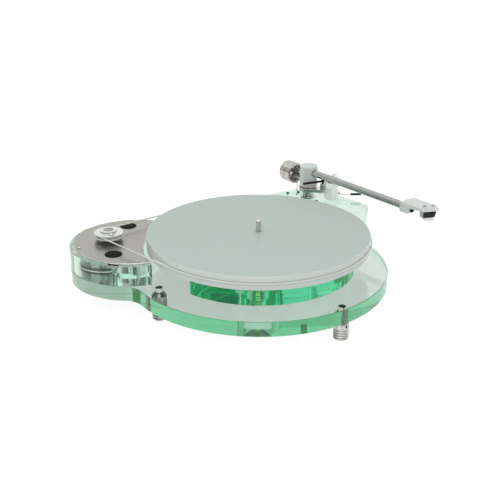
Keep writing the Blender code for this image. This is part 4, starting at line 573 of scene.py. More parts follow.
class Bench:
    """Models pieces with the edit-mode tools, each at its place in its mesh."""

    @staticmethod
    def clear() -> None:
        """Leaves nothing selected."""
        bpy.ops.object.select_all(action="DESELECT")

    @staticmethod
    def take(thing: Object) -> None:
        """Selects one object alone and makes it active."""
        Bench.clear()
        thing.select_set(True)
        bpy.context.view_layer.objects.active = thing

    def draw(self, points: list[Triple], closed: bool) -> Object:
        """Draws a line by extruding a point, and stays in edit mode.

        Args:
            points: the line's points.
            closed: whether it comes back to its start.

        Returns:
            The object, all of it selected.
        """
        self.clear()
        bpy.ops.mesh.primitive_plane_add(size=1.0, location=ORIGIN)
        thing = bpy.context.object
        bpy.ops.object.mode_set(mode="EDIT")
        bpy.ops.mesh.select_mode(type="VERT")
        bpy.ops.mesh.select_all(action="SELECT")
        bpy.ops.mesh.merge(type="CENTER")
        here = Vector(points[0])
        bpy.ops.transform.translate(value=here)
        for point in [*points[1:], points[0]] if closed else points[1:]:
            there = Vector(point)
            bpy.ops.mesh.extrude_vertices_move(TRANSFORM_OT_translate={"value": there - here})
            here = there
        bpy.ops.mesh.select_all(action="SELECT")
        if closed:
            bpy.ops.mesh.remove_doubles(threshold=WELD)
        return thing

    def close(self, thing: Object, place: Matrix) -> Object:
        """Welds a shape, turns its faces outwards, leaves edit mode and applies its place.

        Args:
            thing: the object in edit mode.
            place: where it goes.

        Returns:
            The same object.
        """
        bpy.ops.mesh.select_all(action="SELECT")
        bpy.ops.mesh.remove_doubles(threshold=WELD)
        bpy.ops.mesh.normals_make_consistent()
        bpy.ops.object.mode_set(mode="OBJECT")
        self.take(thing)
        thing.matrix_world = place
        bpy.ops.object.transform_apply()
        return thing

    def turned(self, profile: list[Point], place: Matrix = Matrix(), steps: int = ROUND_STEPS,
               ring: bool = False) -> Object:
        """Spins a profile of (radius, height) into a solid.

        Args:
            profile: its points, from axis to axis, or all round for a ring.
            place: where the solid goes.
            steps: how many flats it has.
            ring: whether the profile closes on itself.

        Returns:
            The solid.
        """
        thing = self.draw([(radius, 0.0, height) for radius, height in profile], ring)
        bpy.ops.mesh.spin(steps=steps, angle=math.tau, center=ORIGIN, axis=Z_AXIS)
        return self.close(thing, place)

    def slab(self, outline: list[Point], low: float, high: float,
             place: Matrix = Matrix()) -> Object:
        """Fills an outline and extrudes it upwards.

        Args:
            outline: its points in plan.
            low: its lower level.
            high: its upper level.
            place: where it goes.

        Returns:
            The solid.
        """
        thing = self.draw([(x, y, low) for x, y in outline], True)
        bpy.ops.mesh.select_all(action="SELECT")
        bpy.ops.mesh.edge_face_add()
        bpy.ops.mesh.extrude_region_move(TRANSFORM_OT_translate={"value": (0.0, 0.0, high - low)})
        return self.close(thing, place)

    def block(self, low: Triple, high: Triple, place: Matrix = Matrix()) -> Object:
        """A box between two corners."""
        outline = [(low[0], low[1]), (high[0], low[1]), (high[0], high[1]), (low[0], high[1])]
        return self.slab(outline, low[2], high[2], place)

    def wire(self, points: list[Triple], radius: float, place: Matrix = Matrix(),
             closed: bool = False) -> Object:
        """Sweeps a round section along a line.

        Args:
            points: the line's points.
            radius: the wire's radius.
            place: where it goes.
            closed: whether it is a loop.

        Returns:
            The wire as a mesh.
        """
        thing = self.draw(points, closed)
        bpy.ops.object.mode_set(mode="OBJECT")
        self.take(thing)
        bpy.ops.object.convert(target="CURVE")
        thing = bpy.context.object
        thing.data.bevel_depth = radius
        thing.data.bevel_resolution = WIRE_SIDES
        thing.data.use_fill_caps = not closed
        bpy.ops.object.convert(target="MESH")
        thing = bpy.context.object
        bpy.ops.object.mode_set(mode="EDIT")
        return self.close(thing, place)

    def act(self, thing: Object, tool: Object, joining: Joining = Joining.CUT) -> None:
        """Cuts one solid out of another, or adds it, and removes the tool.

        Args:
            thing: the solid that stays.
            tool: the solid that is used up.
            joining: what is done.
        """
        modifier = thing.modifiers.new("join", "BOOLEAN")
        modifier.operation = joining.value
        modifier.solver = "EXACT"
        modifier.object = tool
        self.take(thing)
        bpy.ops.object.modifier_apply(modifier=modifier.name)
        bpy.data.objects.remove(tool, do_unlink=True)

    def bore(self, thing: Object, radius: float, low: float, high: float,
             place: Matrix = Matrix(), steps: int = SMALL_STEPS) -> None:
        """Cuts a round hole.

        Args:
            thing: the solid that is cut.
            radius: the hole's radius.
            low: where it starts on its axis.
            high: where it ends.
            place: where the axis stands.
            steps: how many flats it has.
        """
        self.act(thing, self.turned(rod(radius, low, high), place, steps))

    def bevel(self, thing: Object, width: float, segments: int = 2) -> None:
        """Rounds the sharp edges of a solid.

        Args:
            thing: the solid.
            width: the width of the rounding.
            segments: how fine it is.
        """
        modifier = thing.modifiers.new("edges", "BEVEL")
        modifier.width = width
        modifier.segments = segments
        modifier.limit_method = "ANGLE"
        modifier.angle_limit = BEVEL_ANGLE
        self.take(thing)
        bpy.ops.object.modifier_apply(modifier=modifier.name)

    def copies(self, model: Object, places: list[Matrix]) -> list[Object]:
        """Copies a piece that was modelled at the origin to each of its places.

        Args:
            model: the piece, which is used up.
            places: where the copies go.

        Returns:
            The copies, each with its own mesh.
        """
        made = []
        for place in places:
            self.take(model)
            bpy.ops.object.duplicate()
            twin = bpy.context.object
            twin.matrix_world = place
            bpy.ops.object.transform_apply()
            made.append(twin)
        bpy.data.objects.remove(model, do_unlink=True)
        return made

    def repeat(self, model: Object, nodes: list[str], word: str, finish: Finish) -> None:
        """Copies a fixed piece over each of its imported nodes, and finishes the copies.

        Args:
            model: the piece, modelled at the origin and used up.
            nodes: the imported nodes.
            word: what the copies' names end with.
            finish: their finish.
        """
        for node, twin in zip(nodes, self.copies(model, [stand(node) for node in nodes])):
            self.done(twin, f"{node}_{word}", finish, "base", node)

    def paint_faces(self, thing: Object, finish: Finish, low: float, high: float) -> None:
        """Gives the faces between two levels another finish.

        Args:
            thing: the piece.
            finish: the other finish.
            low: the lower level.
            high: the upper level.
        """
        thing.data.materials.append(paint(finish))
        slot = len(thing.data.materials) - 1
        shape = bmesh.new()
        shape.from_mesh(thing.data)
        for face in shape.faces:
            if low <= face.calc_center_median().z <= high:
                face.material_index = slot
        shape.to_mesh(thing.data)
        shape.free()

    def done(self, thing: Object, name: str, finish: Finish, body: str,
             *nodes: str, slot: str = "") -> None:
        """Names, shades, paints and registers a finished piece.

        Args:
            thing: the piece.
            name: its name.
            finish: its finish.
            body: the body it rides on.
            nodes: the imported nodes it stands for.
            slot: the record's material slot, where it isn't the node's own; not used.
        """
        self.take(thing)
        bpy.ops.object.shade_smooth_by_angle(angle=SMOOTH_ANGLE)
        flats = thing.modifiers.new("flats", "WEIGHTED_NORMAL")
        flats.keep_sharp = True
        bpy.ops.object.modifier_apply(modifier=flats.name)
        thing.name = name
        thing.data.name = name
        thing.data.materials.clear()
        thing.data.materials.append(paint(finish))
        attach(thing, body)
        if nodes:
            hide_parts(*nodes)
        LOG.info("%s: %d faces on %s", name, len(thing.data.polygons), body)


BENCH = Bench()


@dataclass
class Plan:
    """The plan of the clear pieces, round the spindle."""

    lower_radius: float = 0.175
    lobe_radius: float = 0.0857
    lobe_distance: float = 0.1701
    lobe_angle: float = 145.2
    lobe_fillet: float = 0.030
    upper_radius: float = 0.1315
    upper_left_angle: float = 196.0
    upper_left_corner: float = 0.008
    front_right: Point = (0.2346, 0.0567)
    front_right_corner: float = 0.015
    rear_right: Point = (0.2110, 0.1775)
    rear_right_corner: float = 0.050
    rear_left_x: float = 0.118
    rear_left_corner: float = 0.014

    def lobe(self) -> Point:
        """The middle of the motor's lobe."""
        return polar(self.lobe_distance, self.lobe_angle)

    def crescent(self, outer_radius: float, bite_radius: float) -> list[Point]:
        """The lobe's disc with the platter's circle bitten out.

        Args:
            outer_radius: the disc's radius.
            bite_radius: the circle's radius.

        Returns:
            The outline.
        """
        centre = self.lobe()
        front, rear = circles_meet((0.0, 0.0), bite_radius, centre, outer_radius)
        start = bearing_of(rear, centre)
        turn = (bearing_of(front, centre) - start) % 360.0
        inner = short_arc((0.0, 0.0), bite_radius, front, rear)
        return arc(centre, outer_radius, start, start + turn) + inner[1:-1]

    def lower(self) -> list[Point]:
        """The lower plinth: the disc and the lobe, joined by two concave fillets.

        Returns:
            The outline.
        """
        lobe = self.lobe()
        zero = (0.0, 0.0)
        fillet = self.lobe_fillet
        front, rear = circles_meet(zero, self.lower_radius + fillet, lobe, self.lobe_radius + fillet)
        start = bearing_of(front)
        disc = arc(zero, self.lower_radius, start, start + (bearing_of(rear) - start) % 360.0)
        start = bearing_of(rear, lobe)
        nose = arc(lobe, self.lobe_radius, start, start + (bearing_of(front, lobe) - start) % 360.0)
        rear_fillet = short_arc(rear, fillet, zero, lobe, FILLET_STEP)
        front_fillet = short_arc(front, fillet, lobe, zero, FILLET_STEP)
        return disc + rear_fillet[1:-1] + nose + front_fillet[1:-1]

    def upper(self) -> list[Point]:
        """The upper plinth: a round front, running straight out to the tonearm.

        Returns:
            The outline.
        """
        rear_left = (self.rear_left_x, self.rear_right[1])
        run = (Vector(polar(self.upper_radius, self.upper_left_angle)) - Vector(rear_left)).normalized()
        inward = Vector((-run.y, run.x))
        shift = self.upper_left_corner + Vector(rear_left).dot(inward)
        ahead = math.sqrt((self.upper_radius - self.upper_left_corner) ** 2 - shift ** 2)
        centre = inward * shift + run * ahead
        corner = short_arc(tuple(centre), self.upper_left_corner, centre - inward, centre * 2.0,
                           CORNER_STEP)
        reach = math.hypot(*self.front_right)
        tangent = bearing_of(self.front_right) - math.degrees(math.acos(self.upper_radius / reach))
        start = bearing_of(centre)
        front = arc((0.0, 0.0), self.upper_radius, start, start + (tangent - start) % 360.0)
        sides = (fillet_corner(front[-1], self.front_right, self.rear_right, self.front_right_corner)
                 + fillet_corner(self.front_right, self.rear_right, rear_left, self.rear_right_corner)
                 + fillet_corner(self.rear_right, rear_left, corner[0], self.rear_left_corner))
        return corner + front[1:] + sides


@dataclass
class Plinths:
    """The two clear plinths, the screws that hold them together and the feet's inserts."""

    plan: Plan
    edge: float = 0.0007
    well_radius: float = 0.020
    insert_radius: float = 0.0050
    insert_bite: float = 0.0001
    insert_rings: int = 7
    insert_groove: float = 0.0005
    insert_shares: Triple = (0.55, 0.70, 0.90)
    stud_radius: float = 0.0030
    screw_radius: float = 0.0016
    screw_head: float = 0.0040
    screw_well: float = 0.0060
    screw_well_depth: float = 0.0120
    socket_radius: float = 0.0019
    socket_depth: float = 0.0018
    bearing_flange: float = 0.0092
    bearing_flange_depth: float = 0.0055
    bearing_body: float = 0.0070
    pillar_thread: float = 0.0075
    board_screw: float = 0.0014
    plate_screw: float = 0.0016

    def build_lower(self) -> None:
        """Builds the lower plinth with its well and its blind holes."""
        low, high = heights("lower_plinth")
        plinth = BENCH.slab(self.plan.lower(), low, high, stand("platter"))
        BENCH.bevel(plinth, self.edge, 3)
        BENCH.bore(plinth, self.well_radius, low - OVERRUN, high + OVERRUN,
                   stand("platter"), ROUND_STEPS)
        for name in ("front", "left", "rear"):
            node = f"foot_insert_{name}"
            BENCH.bore(plinth, self.insert_radius - self.insert_bite, low - OVERRUN,
                       heights(node)[1] + SEAT_GAP, stand(node))
        for name in ("left", "right", "rear"):
            node = f"plinth_screw_{name}"
            BENCH.bore(plinth, self.screw_radius + SEAT_GAP, heights(node)[0] - SEAT_GAP,
                       high + OVERRUN, stand(node))
        for name in ("front", "rear", "left"):
            node = f"plate_screw_{name}"
            BENCH.bore(plinth, self.plate_screw + SEAT_GAP, heights(node)[0] - SEAT_GAP,
                       high + OVERRUN, stand(node))
        BENCH.done(plinth, "lower_plinth_clear", CLEAR, "base", "lower_plinth", slot="clear_acrylic")

    def build_upper(self) -> None:
        """Builds the upper plinth with its counterbores."""
        low, high = heights("upper_plinth")
        plinth = BENCH.slab(self.plan.upper(), low, high, stand("platter"))
        BENCH.bevel(plinth, self.edge, 3)
        shoulder = high - self.bearing_flange_depth - SEAT_GAP
        seat = BENCH.turned(stepped((self.bearing_body + SEAT_GAP, low - OVERRUN, shoulder),
                                    (self.bearing_flange + SEAT_GAP, shoulder, high + OVERRUN)),
                            stand("platter"))
        BENCH.act(plinth, seat)
        for name in ("left", "right", "rear"):
            floor = high - self.screw_well_depth
            well = BENCH.turned(stepped((self.screw_radius + SEAT_GAP, low - OVERRUN, floor),
                                        (self.screw_well, floor, high + OVERRUN)),
                                stand(f"plinth_screw_{name}"), SMALL_STEPS)
            BENCH.act(plinth, well)
        BENCH.bore(plinth, self.pillar_thread + SEAT_GAP, low - OVERRUN, high + OVERRUN,
                   stand("arm_pillar"))
        for name in ("left", "front", "rear"):
            node = f"armboard_screw_{name}"
            BENCH.bore(plinth, self.board_screw + SEAT_GAP, heights(node)[0] - SEAT_GAP,
                       high + OVERRUN, stand(node))
        BENCH.done(plinth, "upper_plinth_clear", DEEP, "base", "upper_plinth", slot="clear_acrylic")

    def build_screws(self) -> None:
        """Builds the screws with hexagon sockets."""
        nodes = [f"plinth_screw_{name}" for name in ("left", "right", "rear")]
        low, high = heights(nodes[0])
        seat = heights("upper_plinth")[1] - self.screw_well_depth + SEAT_GAP
        screw = BENCH.turned(stepped((self.screw_radius, low, seat), (self.screw_head, seat, high)),
                             steps=SMALL_STEPS)
        BENCH.bevel(screw, FINE_EDGE)
        BENCH.bore(screw, self.socket_radius, high - self.socket_depth, high + OVERRUN, steps=HEX_STEPS)
        BENCH.repeat(screw, nodes, "steel", STEEL)

    def build_inserts(self) -> None:
        """Builds the ribbed inserts that the feet screw into."""
        nodes = [f"foot_insert_{name}" for name in ("front", "left", "rear")]
        low, high = heights(nodes[0])
        bore = self.stud_radius + SEAT_GAP
        neck = self.insert_radius - self.insert_groove
        pitch = (high - low) / self.insert_rings
        crest, root, end = (pitch * share for share in self.insert_shares)
        profile = [(bore, low), (self.insert_radius, low)]
        for ring in range(self.insert_rings):
            level = low + pitch * ring
            profile += [(self.insert_radius, level + crest), (neck, level + root), (neck, level + end)]
        profile += [(neck, high), (bore, high)]
        insert = BENCH.turned(profile, steps=SMALL_STEPS, ring=True)
        BENCH.repeat(insert, nodes, "steel", INSERT)

    def build(self) -> None:
        """Builds the plinths and what is let into them."""
        self.build_lower()
        self.build_upper()
        self.build_screws()
        self.build_inserts()


@dataclass
class Feet:
    """The three turned levelling feet."""

    radius: float = 0.0100
    top_radius: float = 0.0062
    top_chamfer: float = 0.0040
    bottom_chamfer: float = 0.0022
    groove: float = 0.0010
    pitch: float = 0.0034
    first_groove: float = 0.0042
    grooves: int = 4
    standoff: float = 0.0005
    stud_radius: float = 0.0030
    stud_end: float = 0.0004
    thread: float = 0.0010
    thread_depth: float = 0.0003
    hole_radius: float = 0.0016
    edge: float = 0.00018

    def profile(self, top: float, stud_top: float) -> list[Point]:
        """The foot's profile.

        Args:
            top: the level of its shoulder.
            stud_top: the level of the stud's end.

        Returns:
            The profile, from axis to axis.
        """
        inset = self.radius - self.groove
        quarter = self.pitch / 4.0
        points = [(0.0, 0.0), (self.radius - self.bottom_chamfer, 0.0),
                  (self.radius, self.bottom_chamfer)]
        for index in range(self.grooves):
            level = self.first_groove + self.pitch * index
            points += [(self.radius, level - quarter), (inset, level - quarter / 3.0),
                       (inset, level + quarter / 3.0), (self.radius, level + quarter)]
        points += [(self.radius, top - self.top_chamfer), (self.top_radius, top),
                   (self.stud_radius, top)]
        level = top + self.thread
        while level + self.thread < stud_top:
            points += [(self.stud_radius - self.thread_depth, level),
                       (self.stud_radius, level + self.thread / 2.0)]
            level += self.thread
        points += [(self.stud_radius - self.stud_end, stud_top), (0.0, stud_top)]
        return points

    def build(self) -> None:
        """Builds the feet, each with its cross hole facing outwards."""
        names = ("front", "left", "rear")
        top = heights("lower_plinth")[0] - self.standoff
        level = top - self.top_chamfer - self.hole_radius
        foot = BENCH.turned(self.profile(top, heights("foot_front")[1]), steps=SMALL_STEPS)
        BENCH.bevel(foot, self.edge)
        BENCH.bore(foot, self.hole_radius, 0.0, self.radius + OVERRUN,
                   along((0.0, 0.0, level), X_AXIS))
        spots = [middle(f"foot_insert_{name}") for name in names]
        places = [at(spot.x, spot.y) @ turn_z(bearing_of((spot.x, spot.y))) for spot in spots]
        for name, twin in zip(names, BENCH.copies(foot, places)):
            BENCH.done(twin, f"foot_{name}_turned", CHROME_WITH_PAINTED_REFLECTIONS, f"foot_{name}", f"foot_{name}")


@dataclass
class Bearing:
    """The brass main bearing, its nut and its plug."""

    flange: float = 0.0092
    flange_depth: float = 0.0055
    body: float = 0.0070
    neck: float = 0.0040
    bore: float = 0.0044
    bore_floor: float = 0.0030
    body_round: Point = (0.0003, 0.0004)
    waist: float = 0.0012
    waist_cut: Point = (0.0004, 0.0006)
    nut: float = 0.0072
    plug: float = 0.0034
    plug_chamfer: float = 0.0008

    def build(self) -> None:
        """Builds the bearing."""
        low, high = heights("bearing_housing")
        place = stand("bearing_housing")
        step = heights("upper_plinth")[0]
        shoulder = high + SEAT_GAP - self.flange_depth
        waist = shoulder - self.waist
        floor = step + self.bore_floor
        cut, slope = self.waist_cut
        profile = [(0.0, low), (self.neck, low), (self.neck, step),
                   (self.body - self.body_round[0], step),
                   (self.body, step + self.body_round[1]), (self.body, waist - slope),
                   (self.body - cut, waist), (self.body - cut, shoulder), (self.flange, shoulder),
                   (self.flange, high), (self.bore, high), (self.bore, floor), (0.0, floor)]
        housing = BENCH.turned(profile, place)
        BENCH.bevel(housing, FINE_EDGE)
        BENCH.done(housing, "bearing_housing_brass", BRASS, "base", "bearing_housing")
        low, high = heights("bearing_nut")
        nut = BENCH.slab(hexagon(self.nut), low, high, place)
        BENCH.bevel(nut, SOFT_EDGE)
        BENCH.bore(nut, self.neck + SEAT_GAP, low - OVERRUN, high + OVERRUN, place)
        BENCH.done(nut, "bearing_nut_brass", BRASS, "base", "bearing_nut")
        low, high = heights("bearing_plug")
        plug = BENCH.turned([(0.0, low), (self.plug - self.plug_chamfer, low),
                             (self.plug, low + self.plug_chamfer), (self.plug, high), (0.0, high)],
                            place, SMALL_STEPS)
        BENCH.done(plug, "bearing_plug_rubber", RUBBER, "base", "bearing_plug")


@dataclass
class Platter:
    """The frosted platter with its hub and its spindle."""

    radius: float = 0.150
    edge: float = 0.0011
    bore: float = 0.00385
    spindle: float = 0.00355
    journal: float = 0.0040
    tip: float = 0.0030
    tip_step: int = 10
    point: float = 0.0015
    hub: float = 0.0260

    def build(self) -> None:
        """Builds the platter."""
        low, high = heights("platter")
        place = stand("platter")
        profile = [(self.bore, low), (self.radius, low), (self.radius, high), (self.bore, high)]
        platter = BENCH.turned(profile, place, FINE_STEPS, ring=True)
        BENCH.bevel(platter, self.edge, 4)
        BENCH.done(platter, "platter_frosted", PLATTER_FROST, "platter", "platter")
        low, high = heights("platter_hub")
        hub = BENCH.turned(pipe(self.hub, self.journal + SEAT_GAP, low, high), place, ring=True)
        BENCH.bevel(hub, SOFT_EDGE)
        BENCH.done(hub, "platter_hub_turned", ALUMINIUM, "platter", "platter_hub")
        low, top = heights("spindle")
        nose = [(self.spindle * math.cos(math.radians(angle)),
                 top - self.tip + self.tip * math.sin(math.radians(angle)))
                for angle in range(0, 90, self.tip_step)]
        profile = [(0.0, low), (self.journal, low + self.point), (self.journal, high),
                   (self.spindle, high), *nose, (0.0, top)]
        spindle = BENCH.turned(profile, place)
        BENCH.bevel(spindle, HAIR_EDGE)
        BENCH.done(spindle, "spindle_polished", STEEL, "platter", "spindle")


@dataclass
class MotorPod:
    """The motor's housing on the lobe, what stands in it, and the plate that closes it."""

    plan: Plan
    spindle: Vector
    edge: float = 0.0007
    bite: float = 0.154
    plate_radius: float = 0.080
    plate_bite: float = 0.1545
    plate_skin: float = 0.0001
    shaft_hole: float = 0.0075
    motor: float = 0.0215
    motor_waist: float = 0.0012
    motor_rim: float = 0.0035
    motor_boss: float = 0.0055
    motor_seam: Triple = (0.0006, 0.0002, 0.0004)
    rim_margin: float = 0.0002
    shaft: float = 0.0020
    pocket_gap: float = 0.0008
    capacitor: float = 0.0145
    capacitor_groove: float = 0.0008
    capacitor_groove_drop: float = 0.0035
    capacitor_rim: Point = (0.0016, 0.0006)
    terminal_hole: Point = (0.0018, 0.0030)
    terminal_width: float = 0.010
    terminal_length: float = 0.012
    terminal_turn: float = 28.0
    wire_way: float = 0.005
    wire_way_depth: float = 0.006
    damper: float = 0.0125
    damper_ledge: float = 0.0010
    damper_depth: float = 0.0080
    damper_round: Triple = (0.0010, 0.0006, 0.0001)
    damper_ring: tuple[float, ...] = (0.0026, 0.0030, 0.0040, 0.0044)
    damper_ring_depth: float = 0.0005
    screw: float = 0.0016
    screw_point: Point = (0.0006, 0.0010)
    screw_head: float = 0.0026
    screw_dome: Triple = (0.0004, 0.0012, 0.0003)
    cross: Triple = (0.0017, 0.00025, 0.0006)
    cross_turns: Point = (35.0, 125.0)
    switch_angle: float = 226.3
    switch_length: float = 0.010
    switch_width: float = 0.0145
    switch_height: float = 0.0030
    switch_proud: float = 0.0010
    switch_travel: float = 0.0012
    switch_recess: float = 0.0030
    switch_grooves: int = 5
    switch_groove: Triple = (0.0024, 0.0004, 0.0003)
    inlet_angle: float = 112.0
    inlet: float = 0.0042
    inlet_bore: float = 0.0022
    inlet_flange: float = 0.0056
    inlet_face: Triple = (0.0010, 0.0003, 0.0005)
    inlet_pin: Triple = (0.0006, 0.0006, 0.0003)
    inlet_depth: float = 0.0090
    inlet_reach: float = 0.036

    def centre(self) -> Point:
        """The middle of the lobe in the frame."""
        lobe = self.plan.lobe()
        return (self.spindle.x + lobe[0], self.spindle.y + lobe[1])

    def rim(self, angle: float, level: float) -> Matrix:
        """A place on the lobe's axis, with X turned outwards to an angle."""
        return at(*self.centre(), level) @ turn_z(angle)

    def inlet_place(self) -> Matrix:
        """The lobe's axis at the inlet's height, with Z turned outwards to it."""
        place = self.rim(self.inlet_angle, middle("motor_housing").z)
        return place @ Matrix.Rotation(math.pi / 2.0, 4, "Y")

    def build_housing(self) -> None:
        """Builds the clear housing with its pockets and wire ways."""
        low, high = heights("motor_housing")
        place = stand("platter")
        housing = BENCH.slab(self.plan.crescent(self.plan.lobe_radius, self.bite), low, high, place)
        BENCH.bevel(housing, self.edge, 3)
        top = high + OVERRUN
        BENCH.bore(housing, self.motor + self.pocket_gap, low - OVERRUN, top, stand("motor"),
                   ROUND_STEPS)
        bottom = heights("motor_capacitor")[0] - SEAT_GAP
        BENCH.bore(housing, self.capacitor + self.pocket_gap, bottom, top, stand("motor_capacitor"),
                   ROUND_STEPS)
        for name in ("front", "rear"):
            BENCH.bore(housing, self.damper + SEAT_GAP, high - self.damper_depth, top,
                       stand(f"plate_damper_{name}"))
        for name in ("front", "rear", "left"):
            BENCH.bore(housing, self.screw + SEAT_GAP, low - OVERRUN, top, stand(f"plate_screw_{name}"))
        terminal = middle("terminal_block")
        deep = heights("terminal_block")[0] - SEAT_GAP
        half_x, half_y = self.terminal_width / 2.0 + SEAT_GAP, self.terminal_length / 2.0 + SEAT_GAP
        BENCH.act(housing, BENCH.block((-half_x, -half_y, deep), (half_x, half_y, top),
                                       at(terminal.x, terminal.y) @ turn_z(self.terminal_turn)))
        capacitor = middle("motor_capacitor")
        for end in (terminal, middle("motor")):
            self.cut_wire_way(housing, capacitor, end, high)
        front = self.plate_radius + self.switch_proud
        half = self.switch_width / 2.0 + SEAT_GAP
        inner = front - self.switch_length - self.switch_travel - SEAT_GAP
        BENCH.act(housing, BENCH.block((inner, -half, -self.switch_height - SEAT_GAP),
                                       (front + self.switch_recess, half, OVERRUN),
                                       self.rim(self.switch_angle, high)))
        wall = self.plan.lobe_radius
        hole = stepped((self.inlet_bore, self.inlet_reach, wall - self.inlet_depth - SEAT_GAP),
                       (self.inlet + SEAT_GAP, wall - self.inlet_depth - SEAT_GAP, wall + OVERRUN))
        BENCH.act(housing, BENCH.turned(hole, self.inlet_place(), SMALL_STEPS))
        BENCH.done(housing, "motor_housing_clear", POD, "base", "motor_housing", slot="clear_acrylic")

    def cut_wire_way(self, housing: Object, start: Vector, end: Vector, high: float) -> None:
        """Cuts a straight channel between two pockets.

        Args:
            housing: what is cut.
            start: the first pocket's middle.
            end: the second pocket's middle.
            high: the housing's upper face.
        """
        run = (end.x - start.x, end.y - start.y)
        place = at(start.x, start.y, high) @ turn_z(math.degrees(math.atan2(run[1], run[0])))
        half = self.wire_way / 2.0
        BENCH.act(housing, BENCH.block((0.0, -half, -self.wire_way_depth),
                                       (math.hypot(*run), half, OVERRUN), place))

    def build_motor(self) -> None:
        """Builds the motor with its dark rims."""
        low, boss = heights("motor")
        high = heights("motor_housing")[1]
        place = stand("motor")
        waist = self.motor - self.motor_waist
        bore = self.shaft + RUN_GAP
        floor = low + self.motor_rim
        profile = [(0.0, low), (self.motor, low), (self.motor, floor), (waist, floor),
                   (waist, high - self.motor_rim), (self.motor, high - self.motor_rim),
                   (self.motor, high), (self.motor_boss, high), (self.motor_boss, boss),
                   (bore, boss), (bore, floor), (0.0, floor)]
        motor = BENCH.turned(profile, place)
        BENCH.bevel(motor, SOFT_EDGE)
        half, proud, root = self.motor_seam
        seam = BENCH.block((-half, -self.motor - proud, floor),
                           (half, -waist + root, high - self.motor_rim), place)
        BENCH.act(motor, seam, Joining.ADD)
        BENCH.done(motor, "motor_can", ALUMINIUM, "base", "motor")
        BENCH.paint_faces(motor, RUBBER, low + self.rim_margin, floor)
        BENCH.paint_faces(motor, RUBBER, high - self.motor_rim, high - self.rim_margin)

    def build_capacitor(self) -> None:
        """Builds the capacitor and the terminal block beside it."""
        low, high = heights("motor_capacitor")
        groove = high - self.capacitor_groove_drop
        cut = self.capacitor_groove
        rim, lid = self.capacitor_rim
        tin = [(0.0, low), (self.capacitor, low), (self.capacitor, groove - cut),
               (self.capacitor - cut, groove), (self.capacitor, groove + cut),
               (self.capacitor, high), (self.capacitor - rim, high), (self.capacitor - rim, high - lid),
               (0.0, high - lid)]
        capacitor = BENCH.turned(tin, stand("motor_capacitor"))
        BENCH.bevel(capacitor, SOFT_EDGE)
        BENCH.done(capacitor, "capacitor_can", TURNED, "base", "motor_capacitor")
        low, high = heights("terminal_block")
        place = stand("terminal_block") @ turn_z(self.terminal_turn)
        half_x, half_y = self.terminal_width / 2.0, self.terminal_length / 2.0
        block = BENCH.block((-half_x, -half_y, low), (half_x, half_y, high), place)
        BENCH.bevel(block, ROUND_EDGE)
        radius, depth = self.terminal_hole
        for side in (-1.0, 1.0):
            BENCH.bore(block, radius, high - depth, high + OVERRUN,
                       place @ at(0.0, side * self.terminal_length / 4.0))
        BENCH.done(block, "terminal_block_moulded", DARK, "base", "terminal_block")

    def build_plate(self) -> None:
        """Builds the brushed plate with its holes, and a painted highlight on its rim."""
        low, high = heights("top_plate")
        place = stand("platter")
        plate = BENCH.slab(self.plan.crescent(self.plate_radius, self.plate_bite), low, high, place)
        BENCH.bevel(plate, SOFT_EDGE, 3)
        BENCH.bore(plate, self.shaft_hole, low - OVERRUN, high + OVERRUN, stand("motor"))
        for name in ("front", "rear"):
            BENCH.bore(plate, self.damper - self.damper_ledge + SEAT_GAP, low - OVERRUN,
                       high + OVERRUN, stand(f"plate_damper_{name}"), ROUND_STEPS)
        for name in ("front", "rear", "left"):
            BENCH.bore(plate, self.screw + SEAT_GAP, low - OVERRUN, high + OVERRUN,
                       stand(f"plate_screw_{name}"))
        BENCH.done(plate, "top_plate_brushed", PLATE, "base", "top_plate")
        # Painted highlight: the rim faces get the light rim finish.
        BENCH.paint_faces(plate, RIM_PAINTED_HIGHLIGHT, low + self.plate_skin, high - self.plate_skin)

    def build_dampers(self) -> None:
        """Builds the two soft dampers that come up through the plate."""
        nodes = ["plate_damper_front", "plate_damper_rear"]
        neck = self.damper - self.damper_ledge
        top = heights("motor_housing")[1]
        bottom, crown = heights(nodes[0])
        inset, drop, dip = self.damper_round
        start, first, last, end = (neck - reach for reach in self.damper_ring)
        ring = crown - self.damper_ring_depth
        profile = [(0.0, bottom), (self.damper, bottom), (self.damper, top), (neck, top),
                   (neck, crown - drop), (neck - inset, crown - dip), (start, crown),
                   (first, ring), (last, ring), (end, crown), (0.0, crown)]
        BENCH.repeat(BENCH.turned(profile), nodes, "rubber", SOFT_RUBBER)

    def build_plate_screws(self) -> None:
        """Builds the cross-slotted screws that hold the plate and the housing down."""
        nodes = ["plate_screw_front", "plate_screw_rear", "plate_screw_left"]
        bottom, crown = heights(nodes[0])
        seat = heights("top_plate")[1] + SEAT_GAP
        rim, flat, drop = self.screw_dome
        profile = [(0.0, bottom), (self.screw - self.screw_point[0], bottom),
                   (self.screw, bottom + self.screw_point[1]), (self.screw, seat),
                   (self.screw_head, seat), (self.screw_head - rim, crown - drop),
                   (self.screw_head - flat, crown), (0.0, crown)]
        screw = BENCH.turned(profile, steps=SMALL_STEPS)
        reach, half, depth = self.cross
        for turn in self.cross_turns:
            BENCH.act(screw, BENCH.block((-reach, -half, crown - depth), (reach, half, crown + OVERRUN),
                                         turn_z(turn)))
        BENCH.repeat(screw, nodes, "steel", STEEL)

